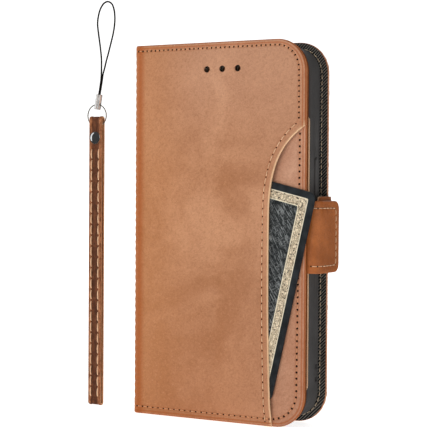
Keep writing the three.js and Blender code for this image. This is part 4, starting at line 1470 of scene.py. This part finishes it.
def make_strap():
    section, path = strap_section(), strap_loop_path()
    cols = len(section)
    inward = left_of(np.roll(path, -1, 0) - np.roll(path, 1, 0))
    points = [(STRAP_X + x, y + n[0] * deep, z + n[1] * deep)
              for (y, z), n in zip(path, inward) for x, deep in section]
    channel = [1.0 if abs(x) < CHANNEL_HALF + 0.05 and deep < 0.4 else 0.0 for x, deep in section]
    cut_edge = (0, 1, 15, 16, 17, 20)       # the strips of the section on the band's two cut edges
    slots = [1 if j in cut_edge else 0 for j in range(cols)]
    strap = new_object("strap_leather_band", points, grid_faces(len(path), cols, close_rows=True),
                       [strap_two_tone, strap_edge], {"channel": channel * len(path)},
                       slots * len(path), 50)
    on_body(strap, "wrist_strap")
    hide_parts("wrist_strap_band")


def strap_look():
    """Leather of the band, darker in its stitched channel."""
    k = Look("strap_two_tone", Specular_IOR_Level=0.22)
    streak = k.noise(2.6, 5, 0.7, k.stretched((1.6, 1, 0.5)), distortion=1.0)
    light = k.mix(k.span(streak, 0.36, 0.66), srgb(130, 76, 45), srgb(180, 120, 82))
    dark = k.mix(k.span(streak, 0.36, 0.66), srgb(82, 46, 28), srgb(116, 68, 42))
    color = k.mix(k.span(k.attribute("channel"), 0.3, 0.7), light, dark)
    color = k.mix(k.span(k.noise(0.9, 3, 0.7), 0.46, 0.62, (0.0, 0.45)), color, srgb(64, 34, 20))
    normal = k.bump(k.noise(3.0, 3), 0.2, 0.4)
    normal = k.bump(k.cells(0.6, "SMOOTH_F1"), 0.07, 0.5, normal)
    return k.finish(color, k.span(k.noise(1.8, 4), 0.3, 0.7, (0.36, 0.52)), normal)


strap_two_tone = strap_look()
make_strap()
strap_thread = thread_look("strap_thread", srgb(248, 208, 168), srgb(206, 156, 114))


def strap_threads():
    """Long stitches along both sides of the channel, in front and behind, left out at the rivet."""
    made = Parts()
    pitch, radius, start, end_gap = 4.7, 0.3, 3.4, 5.2
    t = np.array([0.0, 0.12, 0.3, 0.5, 0.7, 0.88, 1.0])
    lift = np.array([-0.25, 0.02, 0.12, 0.14, 0.12, 0.02, -0.25])
    thickness = radius * np.array([0.8, 0.95, 1, 1, 1, 0.95, 0.8])
    for side in (-1, 1):
        for x in (-CHANNEL_HALF, CHANNEL_HALF):
            for z in np.arange(start, STRAP_TOP - end_gap, pitch):
                if abs(z + pitch / 2 - RIVET_Z) < 3.6:
                    continue
                y = STRAP_Y + side * STRAP_HALF + side * lift
                path = np.column_stack([np.full(7, STRAP_X + x), y, z + 0.5 + t * (pitch - 1.0)])
                made.add(*tube(path, thickness, 7))
    threads = made.object("strap_stitches", strap_thread, sharp=60)
    on_body(threads, "wrist_strap")


strap_threads()


def rivet():
    """A domed cap in front, a flatter one behind, each with its shank in the band."""
    made = Parts()
    reach = STRAP_HALF + 0.04
    dome = [(0, 1.1), (0.2, 1.09), (0.4, 1.03), (0.6, 0.92), (0.76, 0.76), (0.88, 0.54), (0.96, 0.3),
            (1, 0.14), (1, 0.02), (0.96, -0.02)]
    flat = [(0, 0.8), (0.28, 0.78), (0.52, 0.7), (0.72, 0.52), (0.82, 0.42), (0.88, 0.28),
            (0.896, 0.08), (0.88, 0.0)]
    for side, cap in ((-1, dome), (1, flat)):
        shank = [(0.8, cap[-1][1]), (0.8, -1.2), (0, -1.2)]
        made.add(*lathe([(RIVET_CAP_RADIUS * part, rise) for part, rise in cap] + shank,
                        lambda p: np.column_stack([STRAP_X - side * p[:, 0],
                                                   STRAP_Y + side * (reach + p[:, 2]),
                                                   RIVET_Z + p[:, 1]])))
    obj = made.object("strap_rivet_caps", bright_metal)
    on_body(obj, "wrist_strap")
    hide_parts("wrist_strap_rivet")


rivet()


def ring():
    a = np.linspace(0, 2 * math.pi, 96, endpoint=False)
    path = np.column_stack([STRAP_X + RING_RADIUS * np.cos(a), np.full(len(a), STRAP_Y),
                            RING_Z + RING_RADIUS * np.sin(a)])
    made = Parts()
    made.add(*tube(path, RING_WIRE, 12, closed=True, up=(0, 1, 0)))
    obj = made.object("strap_wire_ring", ring_metal)
    on_body(obj, "wrist_strap")
    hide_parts("wrist_strap_ring")


ring()

CRIMP_LENGTH, CRIMP_RADIUS, CRIMP_BOTTOM = 6.55, 1.42, (-26.3, 128.4)
CRIMP_WALL, CRIMP_MOUTH, CRIMP_HOLE_RADIUS = 0.3, 1.2, 0.7
CRIMP_SEAM_ANGLE, CRIMP_SEAM_DEPTH, CRIMP_SEAM_WIDTH = math.radians(-66), 0.6, 0.16  # rolled tube's joint


def crimp():
    """Rolled metal tube on the cord's ends: rounded lips, its joint as a groove, a hole for the ring."""
    r, n = CRIMP_RADIUS, CRIMP_LENGTH
    c, s = math.cos(CRIMP_LEAN), math.sin(CRIMP_LEAN)

    def turn(p):
        away = np.angle(np.exp(1j * (np.arctan2(p[:, 1], p[:, 0]) - CRIMP_SEAM_ANGLE)))
        pinch = 1 - CRIMP_SEAM_DEPTH / r * np.exp(-(away / CRIMP_SEAM_WIDTH) ** 2)
        p = p * np.column_stack([pinch, pinch, np.ones(len(p))])
        return np.column_stack([CRIMP_BOTTOM[0] + p[:, 0] * c + p[:, 2] * s, STRAP_Y + p[:, 1],
                                CRIMP_BOTTOM[1] - p[:, 0] * s + p[:, 2] * c])

    bore = r - CRIMP_WALL
    profile = [(0, 0.5), (bore, 0.5), (r - 0.24, 0.12), (r - 0.14, 0.0), (r - 0.04, 0.05), (r, 0.2),
               (r, n - 0.2), (r - 0.05, n - 0.05), (r - 0.15, n), (r - 0.24, n - 0.12), (bore, n - 0.4),
               (bore, n - CRIMP_MOUTH), (0, n - CRIMP_MOUTH)]
    points, faces = lathe(profile, turn, 120)
    wire_z = RING_Z + RING_RADIUS - 0.15
    hole = lathe([(0, -4), (CRIMP_HOLE_RADIUS, -4), (CRIMP_HOLE_RADIUS, 4), (0, 4)],
                 lambda p: np.column_stack([CRIMP_BOTTOM[0] + p[:, 2], STRAP_Y + p[:, 0],
                                            wire_z + p[:, 1]]), 20)
    obj = carved("cord_crimp_tube", points, faces, [hole], crimp_metal)
    on_body(obj, "wrist_strap")
    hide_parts("cord_crimp")
    return obj


crimp_tube = crimp()
cord_start = tuple(to_frame(cord_line[0]))
length_of(cord_line) * MM
to_frame(cord_line).tolist()


# ---------------------------------------------------------------- CAD nodes that stay, all inside the covers

for node, look in (("front_cover_board", grey_board), ("back_cover_board", grey_board),
                   ("spine_board", grey_board), ("front_tab_magnet", magnet_metal),
                   ("rear_tab_plate", magnet_metal)):
    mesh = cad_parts[node].data
    mesh.materials.clear()
    mesh.materials.append(look)


# ---------------------------------------------------------------- floor, backdrop and light

def stage_look(name, value, glow):
    k = Look(name, "object", Specular_IOR_Level=0.05)
    color = k.mix(k.span(k.noise(160, 2), 0.3, 0.7), (value, value, value, 1),
                  (value * 0.985, value * 0.985, value * 0.98, 1))
    k.surface.inputs["Emission Color"].default_value = (1, 1, 1, 1)
    k.surface.inputs["Emission Strength"].default_value = glow
    return k.finish(color, 0.9)


FLOOR_GLOW = 0.80
WORLD_LIGHT = 0.14
WORLD_GLOSS = 0.05


def make_floor():
    """A floor that curves up into a backdrop behind the object, square to the camera (in metres)."""
    size, flat_to, rise, top = 1.6, 0.6, 0.9, 2.2
    profile = [(-size, 0.0)] + [(y, 0.0) for y in np.linspace(-1.2, flat_to, 6)]
    profile += [(flat_to + rise * math.sin(a), rise * (1 - math.cos(a)))
                for a in np.linspace(0.12, math.pi / 2, 14)]
    profile += [(flat_to + rise, top)]
    turn = Matrix.Rotation(CAMERA_AZIMUTH, 3, "Z")
    points = [turn @ Vector((side, y, z - 0.0002)) for side in (-size, size) for y, z in profile]
    n = len(profile)
    faces = [(i, n + i, n + i + 1, i + 1) for i in range(n - 1)]
    mesh = bpy.data.meshes.new("floor")
    mesh.from_pydata(points, [], faces)
    mesh.polygons.foreach_set("use_smooth", np.ones(len(mesh.polygons), bool))
    mesh.materials.append(stage_look("floor_white", 0.93, FLOOR_GLOW))
    floor = bpy.data.objects.new("floor", mesh)
    bpy.context.scene.collection.objects.link(floor)
    floor.visible_glossy = False


def area_light(name, direction, distance, size, power, color=(1, 1, 1), in_gloss=True):
    """A rectangular light in that direction from the middle of the case, facing it."""
    data = bpy.data.lights.new(name, "AREA")
    data.shape, data.size, data.size_y = "RECTANGLE", size[0], size[1]
    data.energy, data.color = power, color
    lamp = bpy.data.objects.new(name, data)
    d = Vector(direction).normalized()
    lamp.location = Vector((0, 0, 0.085)) + d * distance
    lamp.rotation_mode = "QUATERNION"
    lamp.rotation_quaternion = d.to_track_quat("Z", "Y")
    lamp.visible_glossy = in_gloss
    bpy.context.scene.collection.objects.link(lamp)


def make_light():
    """A world that is white to the camera and dim as light and in reflections, and five lamps."""
    world = bpy.data.worlds.new("studio")
    world.use_nodes = True
    tree = world.node_tree
    tree.nodes.clear()
    out = tree.nodes.new("ShaderNodeOutputWorld")
    mixer, under, path = (tree.nodes.new(kind) for kind in (
        "ShaderNodeMixShader", "ShaderNodeMixShader", "ShaderNodeLightPath"))
    for strength, target in ((1.0, mixer.inputs[2]), (WORLD_LIGHT, under.inputs[1]),
                             (WORLD_GLOSS, under.inputs[2])):
        background = tree.nodes.new("ShaderNodeBackground")
        background.inputs["Color"].default_value = (1, 1, 1, 1)
        background.inputs["Strength"].default_value = strength
        tree.links.new(background.outputs[0], target)
    tree.links.new(path.outputs["Is Camera Ray"], mixer.inputs[0])
    tree.links.new(path.outputs["Is Glossy Ray"], under.inputs[0])
    tree.links.new(under.outputs[0], mixer.inputs[1])
    tree.links.new(mixer.outputs[0], out.inputs[0])
    bpy.context.scene.world = world
    area_light("key", (-0.55, -1.0, 0.55), 0.9, (0.5, 0.7), 2.9, color=(1.0, 0.985, 0.96), in_gloss=False)
    area_light("fill", (1.0, -0.35, 0.35), 1.0, (0.35, 0.8), 0.75)
    area_light("top", (0.1, -0.2, 1.0), 0.9, (0.7, 0.5), 0.95, in_gloss=False)
    area_light("strip", (-1.0, -0.45, 0.3), 0.6, (0.22, 0.6), 0.45)
    area_light("rear", (-0.3, 1.0, 0.5), 0.9, (0.6, 0.6), 1.1)


make_floor()
make_light()
bpy.context.scene.view_settings.view_transform = "Standard"
